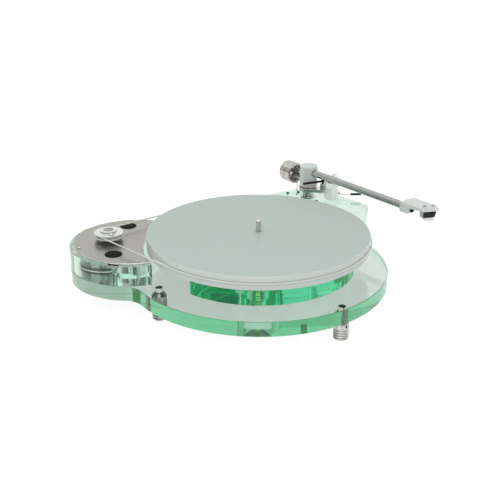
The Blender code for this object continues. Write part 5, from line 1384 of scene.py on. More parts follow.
    def build_switch(self) -> None:
        """Builds the grooved push switch and the inlet."""
        high = heights("motor_housing")[1]
        front = self.plate_radius + self.switch_proud
        back = front - self.switch_length
        half = self.switch_width / 2.0
        place = self.rim(self.switch_angle, high)
        switch = BENCH.block((back, -half, -self.switch_height), (front, half, 0.0), place)
        BENCH.bevel(switch, SOFT_EDGE, 3)
        pitch, wide, deep = self.switch_groove
        for index in range(self.switch_grooves):
            offset = (index - self.switch_grooves // 2) * pitch
            BENCH.act(switch, BENCH.block((front - deep, offset - wide, -self.switch_height - OVERRUN),
                                          (front + OVERRUN, offset + wide, OVERRUN), place))
        BENCH.done(switch, "power_switch_moulded", RUBBER, "switch", "power_switch")
        wall = self.plan.lobe_radius
        seat = wall + SEAT_GAP
        height, slope, inset = self.inlet_face
        pin, pin_drop, pin_point = self.inlet_pin
        face = seat + height
        inside = wall - self.inlet_depth
        floor = wall - self.inlet_depth / 2.0
        socket = [(0.0, inside), (self.inlet, inside), (self.inlet, seat), (self.inlet_flange, seat),
                  (self.inlet_flange, face - slope), (self.inlet_flange - inset, face),
                  (self.inlet_bore, face), (self.inlet_bore, floor), (pin, floor),
                  (pin, wall - pin_drop), (0.0, wall - pin_point)]
        inlet = BENCH.turned(socket, self.inlet_place())
        BENCH.done(inlet, "power_inlet_moulded", RUBBER, "base", "power_inlet")

    def build(self) -> None:
        """Builds the housing and all that is in and on it."""
        self.build_housing()
        self.build_motor()
        self.build_capacitor()
        self.build_plate()
        self.build_dampers()
        self.build_plate_screws()
        self.build_switch()


@dataclass
class Drive:
    """The pulley, its shaft and the round belt."""

    spindle: Vector
    belt: float = 0.0010
    belt_reach: float = 0.1514
    ratio: float = 9.0
    above: float = 0.0014
    below: float = 0.0026
    flange: float = 0.0198
    flange_height: float = 0.0012
    neck: float = 0.0092
    hub: float = 0.0108
    hub_height: float = 0.0016
    lip: float = 0.0190
    lip_height: float = 0.0018
    boss: float = 0.0105
    dish: float = 0.0070
    dish_depth: float = 0.0028
    chamfer: float = 0.0004
    disc_chamfer: float = 0.0008
    hub_chamfer: float = 0.0006
    groove_mouth: float = 0.0006
    groove_foot: Point = (0.0003, 0.0012)
    groove_head: Point = (0.0008, 0.0002)
    cap: float = 0.0065
    cap_turn: float = 10.0
    shaft: float = 0.0020
    bore: float = 0.0023
    screw: float = 0.0012
    screw_socket: Point = (0.0006, 0.0010)
    screw_angle: float = 285.0
    rim_screw: float = 0.0026
    # The ring round the rim screw's foot is painted black as painted shade.
    rim_shade_ring: float = 0.0040
    rim_shade_ring_height: float = 0.0002
    rim_screw_squat: float = 0.85
    rim_screw_reach: float = 0.0136
    rim_screw_angle: float = 261.0

    def build_pulley(self, level: float) -> None:
        """Builds the pulley with its screws, its cap and the shaft it sits on.

        Args:
            level: the belt's height.
        """
        centre = middle("pulley")
        place = at(centre.x, centre.y)
        low, top = heights("pulley")
        upper, lower = level + self.above, level - self.below
        lip_low = lower - self.lip_height
        groove = self.belt_reach / self.ratio - self.belt - RUN_GAP
        dish = top - self.dish_depth
        disc = upper + self.flange_height
        under = top - self.hub_height
        profile = [(self.bore, low), (self.boss, low), (self.boss, lip_low), (self.lip, lip_low),
                   (self.lip, lower), (groove + self.groove_mouth, lower + self.groove_foot[0]),
                   (groove, lower + self.groove_foot[1]), (groove, upper - self.groove_head[0]),
                   (groove + self.groove_mouth, upper - self.groove_head[1]), (self.flange, upper),
                   (self.flange, disc - self.chamfer), (self.flange - self.disc_chamfer, disc),
                   (self.neck, disc + self.chamfer), (self.neck, under),
                   (self.hub, under + self.chamfer), (self.hub, top - self.chamfer),
                   (self.hub - self.hub_chamfer, top),
                   (self.dish + self.chamfer, top), (self.dish, top - self.chamfer), (self.dish, dish),
                   (self.bore, dish)]
        pulley = BENCH.turned(profile, place, FINE_STEPS, ring=True)
        BENCH.bevel(pulley, FINE_EDGE)
        grub_level = (low + lip_low) / 2.0
        outward = (*polar(1.0, self.screw_angle), 0.0)
        grub = along((centre.x, centre.y, grub_level), outward)
        BENCH.bore(pulley, self.screw + SEAT_GAP, self.bore - SEAT_GAP, self.boss + OVERRUN, grub)
        BENCH.done(pulley, "pulley_turned", WHITE, "pulley", "pulley")
        screw = BENCH.turned(rod(self.screw, self.bore, self.boss), grub, SMALL_STEPS)
        BENCH.bevel(screw, HAIR_EDGE)
        socket, depth = self.screw_socket
        BENCH.bore(screw, socket, self.boss - depth, self.boss + OVERRUN, grub, HEX_STEPS)
        BENCH.done(screw, "pulley_screw_steel", STEEL, "pulley", "pulley_screw")
        low, high = heights("pulley_cap")
        cap = BENCH.slab(hexagon(self.cap, self.cap_turn), low, high, place)
        BENCH.bevel(cap, ROUND_EDGE, 3)
        BENCH.done(cap, "pulley_cap_moulded", CAP, "pulley", "pulley_cap")
        self.build_rim_screw(level + self.above + self.flange_height)
        low, high = heights("motor_shaft")
        shaft = BENCH.turned(rod(self.shaft, low, high), place, SMALL_STEPS)
        BENCH.bevel(shaft, FINE_EDGE)
        BENCH.done(shaft, "motor_shaft_steel", STEEL, "pulley", "motor_shaft")

    def build_rim_screw(self, level: float) -> None:
        """Builds the small domed screw on the pulley's disc, with painted shade: a black ring round its
        foot.

        Args:
            level: the disc's upper face.
        """
        centre = middle("pulley")
        spot = polar(self.rim_screw_reach, self.rim_screw_angle, (centre.x, centre.y))
        dome = arc((0.0, level), self.rim_screw, 0.0, DOME_TOP, DOME_STEP)
        squat = [(radius, level + (height - level) * self.rim_screw_squat) for radius, height in dome]
        skirt = level + self.rim_shade_ring_height
        profile = [(0.0, level - SEAT_GAP), (self.rim_shade_ring, level - SEAT_GAP), (self.rim_shade_ring, skirt),
                   (self.rim_screw, skirt), *[point for point in squat if point[1] > skirt],
                   (0.0, level + self.rim_screw * self.rim_screw_squat)]
        head = BENCH.turned(profile, at(*spot), SMALL_STEPS)
        BENCH.done(head, "pulley_rim_screw", BRIGHT_WHITE, "pulley")
        # Painted shade: the screw's foot ring is painted black.
        BENCH.paint_faces(head, RUBBER, level - OVERRUN, skirt + WELD)

    def build(self) -> None:
        """Builds the pulley and the belt."""
        level = middle("drive_belt").z
        self.build_pulley(level)
        centre = middle("pulley")
        pulley = (centre.x - self.spindle.x, centre.y - self.spindle.y)
        small = self.belt_reach / self.ratio
        heading = bearing_of(pulley)
        spread = math.degrees(math.acos((self.belt_reach - small) / math.hypot(*pulley)))
        loop = (arc((0.0, 0.0), self.belt_reach, heading + spread, heading + 360.0 - spread)
                + arc(pulley, small, heading - spread, heading + spread, CORNER_STEP))
        belt = BENCH.wire([(x, y, level) for x, y in loop], self.belt, stand("platter"), closed=True)
        BENCH.done(belt, "drive_belt_round", BELT, "base", "drive_belt")


@dataclass
class ArmBase:
    """The arm's fixed pillar with its collar, lift, spike, screws and thread guide."""

    pivot: Vector
    pillar: float = 0.00875
    neck: float = 0.0055
    flange: float = 0.0120
    flange_height: float = 0.0025
    shoulder: float = 0.0120
    groove: float = 0.0005
    groove_levels: tuple[float, ...] = (0.0030, 0.0033, 0.0040, 0.0043)
    thread: float = 0.0075
    collar: float = 0.0150
    ear: float = 0.0048
    lift_reach: float = 0.0246
    lift_angle: float = -61.9
    bar_reach: float = 0.0272
    bar_angle: float = -142.2
    bar_drop: float = 0.0120
    bar: float = 0.0018
    bar_edge: float = 0.0006
    cylinder: float = 0.0042
    cylinder_step: Triple = (0.0016, 0.0012, 0.0006)
    cylinder_floor: float = 0.0012
    piston: float = 0.0014
    piston_head: float = 0.0026
    piston_head_height: float = 0.0036
    spike: float = 0.0025
    spike_point: float = 0.0045
    screw: float = 0.0014
    screw_head: float = 0.0026
    screw_socket: Point = (0.0013, 0.0011)
    guide: float = 0.0006
    guide_foot: Triple = (0.0020, 0.0010, 0.0014)
    guide_knob: Point = (0.0012, 0.0008)
    guide_knob_drops: Triple = (0.0022, 0.0016, 0.0004)

    def build_pillar(self) -> None:
        """Builds the polished pillar, the collar and the spike."""
        place = stand("arm_pillar")
        low, high = heights("arm_pillar")
        board = heights("upper_plinth")[1]
        seat = board + SEAT_GAP
        shoulder = board + self.shoulder
        ring = seat + self.flange_height
        waist = self.pillar - self.groove
        lip, floor, floor_top, lip_top = (ring + rise for rise in self.groove_levels)
        profile = [(0.0, low), (self.thread, low), (self.thread, seat), (self.flange, seat),
                   (self.flange, ring), (self.pillar, ring), (self.pillar, lip), (waist, floor),
                   (waist, floor_top), (self.pillar, lip_top), (self.pillar, shoulder),
                   (self.neck, shoulder), (self.neck, high), (0.0, high)]
        pillar = BENCH.turned(profile, place)
        BENCH.bevel(pillar, FINE_EDGE)
        BENCH.done(pillar, "arm_pillar_polished", CHROME_WITH_PAINTED_REFLECTIONS, "base", "arm_pillar")
        low, high = heights("lift_platform")
        ear = polar(self.lift_reach, self.lift_angle)
        side = math.degrees(math.acos((self.collar - self.ear) / self.lift_reach))
        outline = (arc((0.0, 0.0), self.collar, self.lift_angle + side, self.lift_angle + 360.0 - side,
                       FILLET_STEP)
                   + arc(ear, self.ear, self.lift_angle - side, self.lift_angle + side, CORNER_STEP))
        collar = BENCH.slab(outline, low, high, place)
        BENCH.bevel(collar, ROUND_EDGE, 3)
        BENCH.bore(collar, self.neck + SEAT_GAP, low - OVERRUN, high + OVERRUN, place, ROUND_STEPS)
        BENCH.done(collar, "lift_platform_steel", STEEL, "base", "lift_platform")
        low, high = heights("pivot_spike")
        spike = BENCH.turned([(0.0, low), (self.spike, low), (self.spike, high - self.spike_point),
                              (0.0, high)], place, SMALL_STEPS)
        BENCH.done(spike, "pivot_spike_steel", STEEL, "base", "pivot_spike")

    def build_lift(self) -> None:
        """Builds the damped lift: its cylinder, and the rubber-covered bar on its piston."""
        spot = polar(self.lift_reach, self.lift_angle, (self.pivot.x, self.pivot.y))
        end = polar(self.bar_reach, self.bar_angle, (self.pivot.x, self.pivot.y))
        low, high = heights("lift_cylinder")
        place = at(*spot)
        bore = self.piston + RUN_GAP
        ledge, slope, inset = self.cylinder_step
        floor = low + self.cylinder_floor
        profile = [(0.0, low), (self.cylinder, low), (self.cylinder, high - ledge),
                   (self.cylinder - inset, high - slope), (self.cylinder - inset, high),
                   (bore, high), (bore, floor), (0.0, floor)]
        cylinder = BENCH.turned(profile, place)
        BENCH.bevel(cylinder, HAIR_EDGE)
        BENCH.done(cylinder, "lift_cylinder_steel", CHROME_WITH_PAINTED_REFLECTIONS, "base", "lift_cylinder")
        low = heights("lift_bar")[0]
        level = self.pivot.z - self.bar_drop
        head_low = level - self.piston_head_height / 2.0
        bar = BENCH.turned(stepped((self.piston, low, head_low),
                                   (self.piston_head, head_low, head_low + self.piston_head_height)),
                           place, SMALL_STEPS)
        BENCH.bevel(bar, FINE_EDGE)
        run = Vector((end[0] - spot[0], end[1] - spot[1], 0.0))
        arm = BENCH.turned(rod(self.bar, 0.0, run.length), along((*spot, level), run), SMALL_STEPS)
        BENCH.bevel(arm, self.bar_edge, 3)
        BENCH.act(bar, arm, Joining.ADD)
        BENCH.done(bar, "lift_bar_rubber", RUBBER, "lift", "lift_bar")

    def build_board(self) -> None:
        """Builds the screws in the board and the thin thread guide."""
        nodes = [f"armboard_screw_{name}" for name in ("left", "front", "rear")]
        low, high = heights(nodes[0])
        seat = heights("upper_plinth")[1] + SEAT_GAP
        screw = BENCH.turned(stepped((self.screw, low, seat), (self.screw_head, seat, high)),
                             steps=SMALL_STEPS)
        BENCH.bevel(screw, SOFT_EDGE)
        socket, depth = self.screw_socket
        BENCH.bore(screw, socket, high - depth, high + OVERRUN, steps=HEX_STEPS)
        BENCH.repeat(screw, nodes, "steel", DARK_STEEL)
        low, high = heights("thread_guide")
        foot, foot_rise, neck_rise = self.guide_foot
        knob, crown = self.guide_knob
        neck, knob_low, knob_high = (high - drop for drop in self.guide_knob_drops)
        profile = [(0.0, low), (foot, low), (foot, low + foot_rise), (self.guide, low + neck_rise),
                   (self.guide, neck), (knob, knob_low), (knob, knob_high), (crown, high), (0.0, high)]
        guide = BENCH.turned(profile, stand("thread_guide"), SMALL_STEPS)
        BENCH.done(guide, "thread_guide_steel", STEEL, "base", "thread_guide")

    def build(self) -> None:
        """Builds the arm's base."""
        self.build_pillar()
        self.build_lift()
        self.build_board()


@dataclass
class ArmRest:
    """The frosted post beside the arm, its rest and the cueing lever."""

    parked: Matrix
    drop: float
    reach: float = 0.0280
    out: float = 0.0230
    size: float = 0.0160
    rest_drop: float = 0.0125
    rest_reach: float = 0.0500
    rest_width: float = 0.0080
    rest_inner: float = 0.0070
    tube: float = 0.00525
    horn_gap: float = 0.0008
    horn_wall: float = 0.0050
    horn_rise: float = 0.0070
    horn_inset: float = 0.0010
    corners: Triple = (0.0008, 0.0012, 0.0020)
    cue_height: float = 0.0080
    cue_reach: float = 0.0320
    cue_shaft: float = 0.0015
    cue_shaft_length: float = 0.0080
    cue_hub: float = 0.0032
    cue_hub_length: float = 0.0040
    cue_rod: float = 0.0008
    elbow: float = 0.0075
    rod_length: float = 0.0290
    rod_angle: float = 54.5
    bend: Triple = (4.0, 11.0, 0.35)
    grip: float = 0.0019
    grip_length: float = 0.0165
    grip_bore: float = 0.0150
    grip_ends: Point = (0.0006, 0.0005)
    grip_grooves: int = 6
    grip_groove_start: float = 0.0030
    grip_groove_pitch: float = 0.0018
    grip_groove_depth: float = 0.0003
    grip_groove_rises: Triple = (0.0004, 0.0008, 0.0012)

    def build_post(self) -> float:
        """Builds the post and the rest.

        Returns:
            The height of the lever's shaft in the arm's own frame.
        """
        half = self.size / 2.0
        low = -self.drop + SEAT_GAP
        near, far = self.out - half, self.out + half
        post = BENCH.block((self.reach - half, near, low), (self.reach + half, far, -self.rest_drop),
                           self.parked)
        BENCH.bevel(post, FULL_EDGE, 3)
        shaft_level = -self.drop + self.cue_height
        outward = self.parked @ along((self.cue_reach, far, shaft_level), Y_AXIS)
        BENCH.bore(post, self.cue_shaft + RUN_GAP, -self.cue_shaft_length - SEAT_GAP, OVERRUN, outward)
        BENCH.done(post, "rest_post_frosted", POST_FROST, "base", "rest_post")
        rear = self.rest_reach - self.rest_width / 2.0
        front = self.rest_reach + self.rest_width / 2.0
        inner = self.tube + self.horn_gap
        outer = inner + self.horn_wall
        small, medium, large = self.corners
        outline = rounded([(self.reach - half, near, medium), (self.reach + half, near, 0.0),
                           (rear, outer, large), (rear, -self.rest_inner, medium),
                           (front, -self.rest_inner, medium), (front, outer, large),
                           (self.reach + half, far, medium), (self.reach - half, far, medium)])
        rest_low, rest_top = -self.rest_drop + SEAT_GAP, -self.tube - SEAT_GAP
        rest = BENCH.slab(outline, rest_low, rest_top, self.parked)
        inset = self.horn_inset
        horn_outline = rounded([(rear + inset, inner, small), (front - inset, inner, small),
                                (front - inset, outer - inset, large),
                                (rear + inset, outer - inset, large)])
        horn = BENCH.slab(horn_outline, rest_low + inset, self.horn_rise, self.parked)
        BENCH.act(rest, horn, Joining.ADD)
        BENCH.bevel(rest, ROUND_EDGE)
        BENCH.done(rest, "arm_rest_frosted", POST_FROST, "base", "arm_rest")
        return shaft_level

    def build_lever(self, level: float) -> None:
        """Builds the cueing lever with its grip.

        Args:
            level: the shaft's height in the arm's own frame.
        """
        place = self.parked @ at(self.cue_reach, self.out + self.size / 2.0, level)
        hub_low, hub_high = SEAT_GAP, SEAT_GAP + self.cue_hub_length
        profile = stepped((self.cue_shaft, -self.cue_shaft_length, hub_low),
                          (self.cue_hub, hub_low, hub_high))
        lever = BENCH.turned(profile, place @ along(ORIGIN, Y_AXIS), SMALL_STEPS)
        BENCH.bevel(lever, FINE_EDGE)
        out = (hub_low + hub_high) / 2.0
        elbow = (self.elbow, out)
        tip = polar(self.rod_length, self.rod_angle, elbow)
        ends, middle_part, lean = self.bend
        bend = [polar(self.elbow / ends, 180.0, elbow),
                polar(self.elbow / middle_part, 180.0 + lean * self.rod_angle, elbow),
                polar(self.elbow / ends, self.rod_angle, elbow)]
        line = [(self.cue_hub / 2.0, out), *bend, tip]
        bar = BENCH.wire([(x, y, 0.0) for x, y in line], self.cue_rod, place)
        BENCH.act(lever, bar, Joining.ADD)
        BENCH.done(lever, "cue_lever_steel", STEEL, "cue_lever", "cue_lever")
        cap = self.grip_length - self.grip_bore
        end = polar(cap + SEAT_GAP, self.rod_angle, tip)
        bore = self.cue_rod + SEAT_GAP
        tip_round, end_round = self.grip_ends
        neck = self.grip - self.grip_groove_depth
        profile = [(0.0, 0.0), (self.grip - tip_round, 0.0), (self.grip, tip_round)]
        for groove in range(self.grip_grooves):
            start = self.grip_groove_start + groove * self.grip_groove_pitch
            first, last, close = (start + rise for rise in self.grip_groove_rises)
            profile += [(self.grip, start), (neck, first), (neck, last), (self.grip, close)]
        profile += [(self.grip, self.grip_length - end_round), (self.grip - end_round, self.grip_length),
                    (bore, self.grip_length), (bore, cap), (0.0, cap)]
        heading = (*polar(-1.0, self.rod_angle), 0.0)
        grip = BENCH.turned(profile, place @ along((*end, 0.0), heading), SMALL_STEPS)
        BENCH.done(grip, "cue_grip_rubber", RUBBER, "cue_lever", "cue_grip")

    def build(self) -> None:
        """Builds the rest and the lever."""
        self.build_lever(self.build_post())


@dataclass
class Tonearm:
    """The arm itself: cup, housing, tube, stub and counterweight."""

    parked: Matrix
    cup: float = 0.0044
    cup_mouth: float = 0.0026
    cup_mouth_depth: float = 0.0020
    housing: float = 0.0137
    rise: float = 0.0100
    skirt: float = 0.0220
    bore: float = 0.0090
    lip: float = 0.0008
    crown: float = 0.0006
    shoulder: float = 0.0018
    dimple: float = 0.0012
    dimple_depth: float = 0.0010
    tube: float = 0.00525
    wall: float = 0.0008
    tube_end: float = 0.2060
    stub: float = 0.0030
    stub_drop: float = 0.0075
    stub_end: float = 0.0500
    weight: float = 0.0160
    weight_length: float = 0.0225
    weight_start: float = 0.0290
    weight_drop: float = 0.0105
    weight_groove: float = 0.0004
    weight_groove_shares: tuple[float, ...] = (0.42, 0.45, 0.50, 0.53)
    recess: float = 0.0125
    recess_depth: float = 0.0110

    def forward(self, x: float = 0.0, z: float = 0.0) -> Matrix:
        """A place on the arm with Z turned towards the headshell."""
        return self.parked @ along((x, 0.0, z), X_AXIS)

    def backward(self, x: float = 0.0, z: float = 0.0) -> Matrix:
        """A place on the arm with Z turned towards the counterweight."""
        return self.parked @ along((x, 0.0, z), (-1.0, 0.0, 0.0))

    def build_pivot(self) -> None:
        """Builds the cup and the frosted housing."""
        low = math.degrees(math.asin(-self.cup_mouth_depth / self.cup))
        profile = [(0.0, SEAT_GAP), (self.cup_mouth, -self.cup_mouth_depth),
                   *arc((0.0, 0.0), self.cup, low, 90.0, DOME_STEP)]
        cup = BENCH.turned(profile, self.parked)
        BENCH.done(cup, "pivot_cup_brass", BRASS, "arm_swivel", "pivot_cup")
        seat = self.cup + SEAT_GAP
        start = math.degrees(math.asin(self.lip / seat))
        dome = arc((0.0, 0.0), seat, 90.0, start, DOME_STEP)
        soft = arc((self.housing - self.shoulder, self.rise - self.shoulder), self.shoulder, 0.0,
                   DOME_TOP, SHOULDER_STEP)
        profile = [*dome, (self.bore, self.lip), (self.bore, -self.skirt), (self.housing, -self.skirt),
                   *soft, (self.dimple, self.rise + self.crown),
                   (self.dimple, self.rise - self.dimple_depth),
                   (0.0, self.rise - self.dimple_depth)]
        housing = BENCH.turned(profile, self.parked)
        inner, outer = self.bore - OVERRUN, self.housing + OVERRUN
        BENCH.bore(housing, self.tube + SEAT_GAP, inner, outer, self.forward(), ROUND_STEPS)
        BENCH.bore(housing, self.stub + SEAT_GAP, inner, outer, self.backward(z=-self.stub_drop),
                   ROUND_STEPS)
        BENCH.done(housing, "arm_housing_frosted", ARM_FROST, "tonearm", "arm_housing")

    def build_tube(self) -> None:
        """Builds the tube and the stub that carries the counterweight."""
        start = self.bore - OVERRUN + SEAT_GAP
        tube = BENCH.turned(pipe(self.tube, self.tube - self.wall, start, self.tube_end), self.forward(),
                            ring=True)
        BENCH.done(tube, "arm_tube_satin", TUBE, "tonearm", "arm_tube")
        place = self.backward(z=-self.stub_drop)
        stub = BENCH.turned(rod(self.stub, start, self.stub_end), place, SMALL_STEPS)
        BENCH.bevel(stub, SOFT_EDGE)
        BENCH.done(stub, "counterweight_stub_steel", STEEL, "tonearm", "counterweight_stub")

    def build_weight(self) -> None:
        """Builds the dished counterweight with its high bore."""
        place = self.backward(-self.weight_start, -self.weight_drop)
        length = self.weight_length
        neck = self.weight - self.weight_groove
        lip, floor, floor_end, lip_end = (length * share for share in self.weight_groove_shares)
        profile = [(0.0, self.recess_depth), (self.recess, self.recess_depth), (self.recess, 0.0),
                   (self.weight, 0.0), (self.weight, lip), (neck, floor), (neck, floor_end),
                   (self.weight, lip_end), (self.weight, length), (0.0, length)]
        weight = BENCH.turned(profile, place, FINE_STEPS)
        BENCH.bevel(weight, FULL_EDGE, 3)
        BENCH.bore(weight, self.stub + RUN_GAP, self.weight_start, self.weight_start + length + OVERRUN,
                   self.backward(z=-self.stub_drop))
        BENCH.done(weight, "counterweight_turned", WEIGHT_WITH_PAINTED_REFLECTIONS, "counterweight", "counterweight")

    def build(self) -> None:
        """Builds the arm."""
        self.build_pivot()
        self.build_tube()
        self.build_weight()


@dataclass
class Head:
    """The headshell with its grommet and bolts, and the cartridge under it."""

    parked: Matrix
    offset: float = -26.0
    start: float = 0.1960
    clamp: float = 0.0160
    inner: float = 0.0070
    outer: float = 0.0210
    outer_end: float = 0.2390
    nose: Point = (0.2362, -0.0042)
    front: float = 0.0235
    rise: float = 0.0070
    thickness: float = 0.0050
    clamp_drop: float = 0.0068
    clamp_inset: float = 0.0004
    clamp_corner: float = 0.0008
    corner: float = 0.0020
    tube: float = 0.00525
    tube_end: float = 0.2060
    bolts: Point = (0.2333, 0.0110)
    bolt_spacing: float = 0.0127
    bolt: float = 0.0012
    bolt_head: float = 0.0022
    bolt_head_height: float = 0.0014
    bolt_bite: float = 0.0025
    bolt_socket: Point = (0.0012, 0.0009)
    grommet: float = 0.0030
    grommet_length: float = 0.0025
    grommet_round: Point = (0.0006, 0.0008)
    grommet_dish: Triple = (0.0012, 0.0010, 0.0006)
    grommet_drop: float = 0.0026
    frame_width: float = 0.0166
    frame_top: float = 0.0032
    cheek: float = 0.0017
    frame_height: float = 0.0122
    frame_back: float = 0.0100
    frame_front: float = 0.0022
    body_front: float = 0.0062
    body_nose: float = 0.0012
    body_nose_drop: float = 0.0030
    body_chin: float = 0.0020
    body_height: float = 0.0095
    guard_height: float = 0.0042
    guard_back: float = 0.0080
    guard_slope: float = 0.0016
    stylus_reach: float = 0.0099
    stylus_drop: float = 0.0160
    cantilever: float = 0.00045
    point_length: float = 0.0009
    point_share: float = 0.8

    def build_shell(self) -> None:
        """Builds the frosted headshell and its grommet."""
        under = self.rise - self.thickness
        clamp_end = self.start + self.clamp
        tip = polar(self.front, 90.0 + self.offset, self.nose)
        outline = rounded([(self.start, -self.inner, self.clamp_corner), (clamp_end, -self.inner, 0.0),
                           (*self.nose, self.corner), (*tip, self.corner),
                           (self.outer_end, self.outer, self.corner),
                           (self.start, self.outer, self.corner)])
        shell = BENCH.slab(outline, under, self.rise, self.parked)
        inset = self.clamp_inset
        clamp = BENCH.block((self.start + inset, -self.inner + inset, -self.clamp_drop),
                            (clamp_end, self.inner, self.rise - self.thickness / 2.0), self.parked)
        BENCH.act(shell, clamp, Joining.ADD)
        BENCH.bevel(shell, ROUND_EDGE)
        forward = self.parked @ along(ORIGIN, X_AXIS)
        BENCH.bore(shell, self.tube + SEAT_GAP, self.start - OVERRUN, self.tube_end + SEAT_GAP, forward,
                   ROUND_STEPS)
        seat = self.rise + SEAT_GAP
        low = under - SEAT_GAP - self.bolt_bite
        top = seat + self.bolt_head_height
        bolt = BENCH.turned(stepped((self.bolt, low, seat), (self.bolt_head, seat, top)),
                            steps=SMALL_STEPS)
        BENCH.bevel(bolt, FINE_EDGE)
        socket, depth = self.bolt_socket
        BENCH.bore(bolt, socket, top - depth, top + OVERRUN, steps=HEX_STEPS)
        places = [self.parked @ at(*polar(self.bolt_spacing / 2.0, self.offset + turn, self.bolts))
                  for turn in (90.0, -90.0)]
        for place in places:
            BENCH.bore(shell, self.bolt + SEAT_GAP, under - OVERRUN, self.rise + OVERRUN, place)
        for name, twin in zip(("outer", "inner"), BENCH.copies(bolt, places)):
            node = f"cartridge_bolt_{name}"
            BENCH.done(twin, f"{node}_steel", STEEL, "tonearm", node)
        BENCH.done(shell, "headshell_frosted", ARM_FROST, "tonearm", "headshell")
        first = clamp_end + SEAT_GAP
        last = first + self.grommet_length
        inset, slope = self.grommet_round
        mouth, throat, depth = self.grommet_dish
        profile = [(0.0, first), (self.grommet, first), (self.grommet, last - slope),
                   (self.grommet - inset, last), (mouth, last), (throat, last - depth),
                   (0.0, last - depth)]
        grommet = BENCH.turned(profile, self.parked @ at(0.0, 0.0, -self.grommet_drop)
                               @ along(ORIGIN, X_AXIS), SMALL_STEPS)
        BENCH.done(grommet, "lead_grommet_rubber", RUBBER, "tonearm", "lead_grommet")

    def build_cartridge(self) -> None:
        """Builds the cartridge: frame, body, guard and stylus."""
        top = self.rise - self.thickness - SEAT_GAP
        place = self.parked @ at(*self.bolts, top) @ turn_z(self.offset)
        upright = place @ Matrix.Rotation(math.pi / 2.0, 4, "X")
        lengthways = place @ Matrix(((0, 0, 1, 0), (1, 0, 0, 0), (0, 1, 0, 0), (0, 0, 0, 1)))
        wide = self.frame_width / 2.0
        bay = wide - self.cheek
        section = [(-wide, 0.0), (-wide, -self.frame_height), (-bay, -self.frame_height),
                   (-bay, -self.frame_top), (bay, -self.frame_top), (bay, -self.frame_height),
                   (wide, -self.frame_height), (wide, 0.0)]
        frame = BENCH.slab(section, -self.frame_back, self.frame_front, lengthways)
        BENCH.bevel(frame, FINE_EDGE)
        for turn in (90.0, -90.0):
            spot = polar(self.bolt_spacing / 2.0, turn)
            BENCH.bore(frame, self.bolt + SEAT_GAP, -self.bolt_bite - SEAT_GAP, OVERRUN,
                       place @ at(*spot))
        BENCH.done(frame, "cartridge_frame_satin", CHEEK, "tonearm", "cartridge_frame")
        half = bay - SEAT_GAP
        body_top = -self.frame_top - SEAT_GAP
        edge = self.frame_front + SEAT_GAP
        face = [(self.body_front - self.body_chin, -self.body_height),
                (self.body_front + self.body_nose, -self.body_nose_drop), (self.body_front, 0.0)]
        side = [(-self.frame_back, body_top), (-self.frame_back, -self.body_height), *face,
                (edge, 0.0), (edge, body_top)]
        body = BENCH.slab(side, -half, half, upright)
        mask = [(edge, 0.0), (edge, -self.body_height), *face]
        BENCH.act(body, BENCH.slab(mask, -wide, wide, upright), Joining.ADD)
        BENCH.bevel(body, SOFT_EDGE)
        BENCH.done(body, "cartridge_body_moulded", RUBBER, "tonearm", "cartridge_body")
        guard_top = -self.body_height - SEAT_GAP
        guard_low = guard_top - self.guard_height
        side = [(-self.guard_back, guard_top), (-self.guard_back, guard_low),
                (self.body_front + self.guard_slope, guard_low), (self.body_front, guard_top)]
        guard = BENCH.slab(side, -half, half, upright)
        BENCH.bevel(guard, FINE_EDGE)
        BENCH.done(guard, "stylus_guard_moulded", BRIGHT_WHITE, "tonearm", "stylus_guard")
        root = Vector((self.body_front - self.guard_height, 0.0, guard_low - SEAT_GAP - self.cantilever))
        tip = Vector((self.stylus_reach, 0.0, -self.stylus_drop + self.point_length))
        run = tip - root
        stylus = BENCH.turned(rod(self.cantilever, 0.0, run.length), place @ along(root, run),
                              SMALL_STEPS)
        half = self.cantilever / 2.0
        point = [(0.0, -self.point_length), (self.cantilever * self.point_share, half), (0.0, half)]
        BENCH.act(stylus, BENCH.turned(point, place @ at(tip.x - self.cantilever, 0.0, tip.z),
                                       SMALL_STEPS), Joining.ADD)
        BENCH.done(stylus, "stylus_cantilever", ALUMINIUM, "tonearm", "stylus")

    def build(self) -> None:
        """Builds the head."""
        self.build_shell()
        self.build_cartridge()


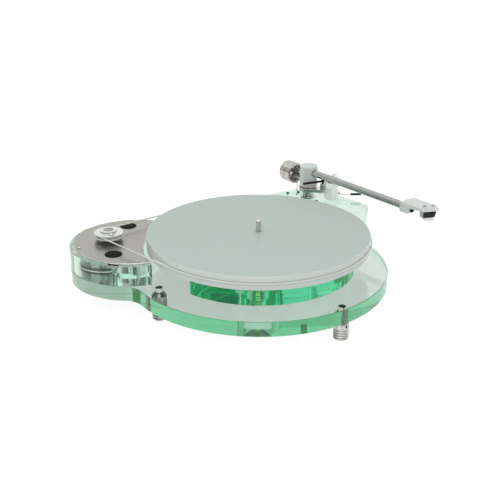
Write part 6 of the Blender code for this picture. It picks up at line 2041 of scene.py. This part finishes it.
@dataclass
class Studio:
    """The pale floor, the soft light and the camera."""

    spindle: Vector
    floor_size: float = 14.0
    floor_cells: int = 8
    camera_place: Triple = (-0.6166, -0.9716, 0.5439)
    camera_line: Triple = (0.4872, 0.7846, -0.3834)
    camera_roll: float = 0.249
    lens: float = 66.24
    sensor: float = 36.0
    sky_line: Triple = (0.35, 0.60, 0.72)
    sky_turn: Point = (-0.30, 0.70)
    sky_strength: Point = (0.12, 1.08)
    key_energy: float = 15.0
    key_size: float = 1.6
    key_place: Triple = (-0.7, -1.1, 1.4)
    key_target: Triple = (0.0, 0.0, 0.06)
    sight: Point = (0.05, 60.0)
    bounces: int = 32

    def build_floor(self) -> None:
        """Builds the floor that the feet stand on."""
        BENCH.clear()
        cells = self.floor_cells
        bpy.ops.mesh.primitive_grid_add(x_subdivisions=cells, y_subdivisions=cells, size=self.floor_size)
        floor = bpy.context.object
        floor.name = "studio_floor"
        floor.data.materials.append(paint(FLOOR))

    def build_light(self) -> None:
        """Lights the scene with a white sky, darker behind the viewer, and one wide lamp."""
        world = bpy.data.worlds.new("studio_sky")
        world.use_nodes = True
        nodes, links = world.node_tree.nodes, world.node_tree.links
        sky = nodes["Background"]
        fill(sky, {"Color": (1.0, 1.0, 1.0, 1.0)})
        coords = nodes.new("ShaderNodeTexCoord")
        facing = nodes.new("ShaderNodeVectorMath")
        facing.operation = "DOT_PRODUCT"
        facing.inputs[1].default_value = self.sky_line
        links.new(coords.outputs["Generated"], facing.inputs[0])
        strength = map_range(world.node_tree, facing.outputs["Value"], self.sky_turn, self.sky_strength)
        links.new(strength, sky.inputs["Strength"])
        bpy.context.scene.world = world
        lamp = bpy.data.lights.new("studio_key", "AREA")
        lamp.energy = self.key_energy
        lamp.size = self.key_size
        holder = bpy.data.objects.new("studio_key", lamp)
        bpy.context.scene.collection.objects.link(holder)
        holder.location = self.key_place
        aim = Vector(self.key_target) - Vector(self.key_place)
        holder.rotation_euler = aim.to_track_quat("-Z", "Y").to_euler()

    def build_camera(self) -> None:
        """Sets the camera where the photograph was taken from."""
        data = bpy.data.cameras.new("studio_camera")
        data.lens = self.lens
        data.sensor_width = self.sensor
        data.clip_start, data.clip_end = self.sight
        camera = bpy.data.objects.new("studio_camera", data)
        bpy.context.scene.collection.objects.link(camera)
        camera.location = Vector(self.camera_place) + self.spindle
        turn = Vector(self.camera_line).to_track_quat("-Z", "Y")
        camera.rotation_mode = "QUATERNION"
        camera.rotation_quaternion = turn @ Quaternion(Z_AXIS, math.radians(self.camera_roll))
        bpy.context.scene.camera = camera

    def build(self) -> None:
        """Builds the studio."""
        self.build_floor()
        self.build_light()
        self.build_camera()
        scene = bpy.context.scene
        scene.view_settings.view_transform = "Standard"
        scene.cycles.max_bounces = self.bounces
        scene.cycles.transmission_bounces = self.bounces
        scene.cycles.glossy_bounces = self.bounces


def main() -> None:
    """Loads the frame and builds the turntable in order."""
    logging.basicConfig(level=logging.INFO, format="%(name)s %(message)s")
    for thing in list(bpy.data.objects):
        bpy.data.objects.remove(thing, do_unlink=True)
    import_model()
    spindle = stand("platter").to_translation()
    pivot = stand("arm_pillar").to_translation()
    pivot.z = heights("pivot_spike")[1]
    parked = Matrix.Translation(pivot) @ turn_z(PARKED_ANGLE)
    plan = Plan()
    Plinths(plan).build()
    Feet().build()
    Bearing().build()
    Platter().build()
    MotorPod(plan, spindle).build()
    Drive(spindle).build()
    ArmBase(pivot).build()
    ArmRest(parked, pivot.z - heights("upper_plinth")[1]).build()
    Tonearm(parked).build()
    Head(parked).build()
    Studio(spindle).build()


if __name__ == "__main__":
    main()
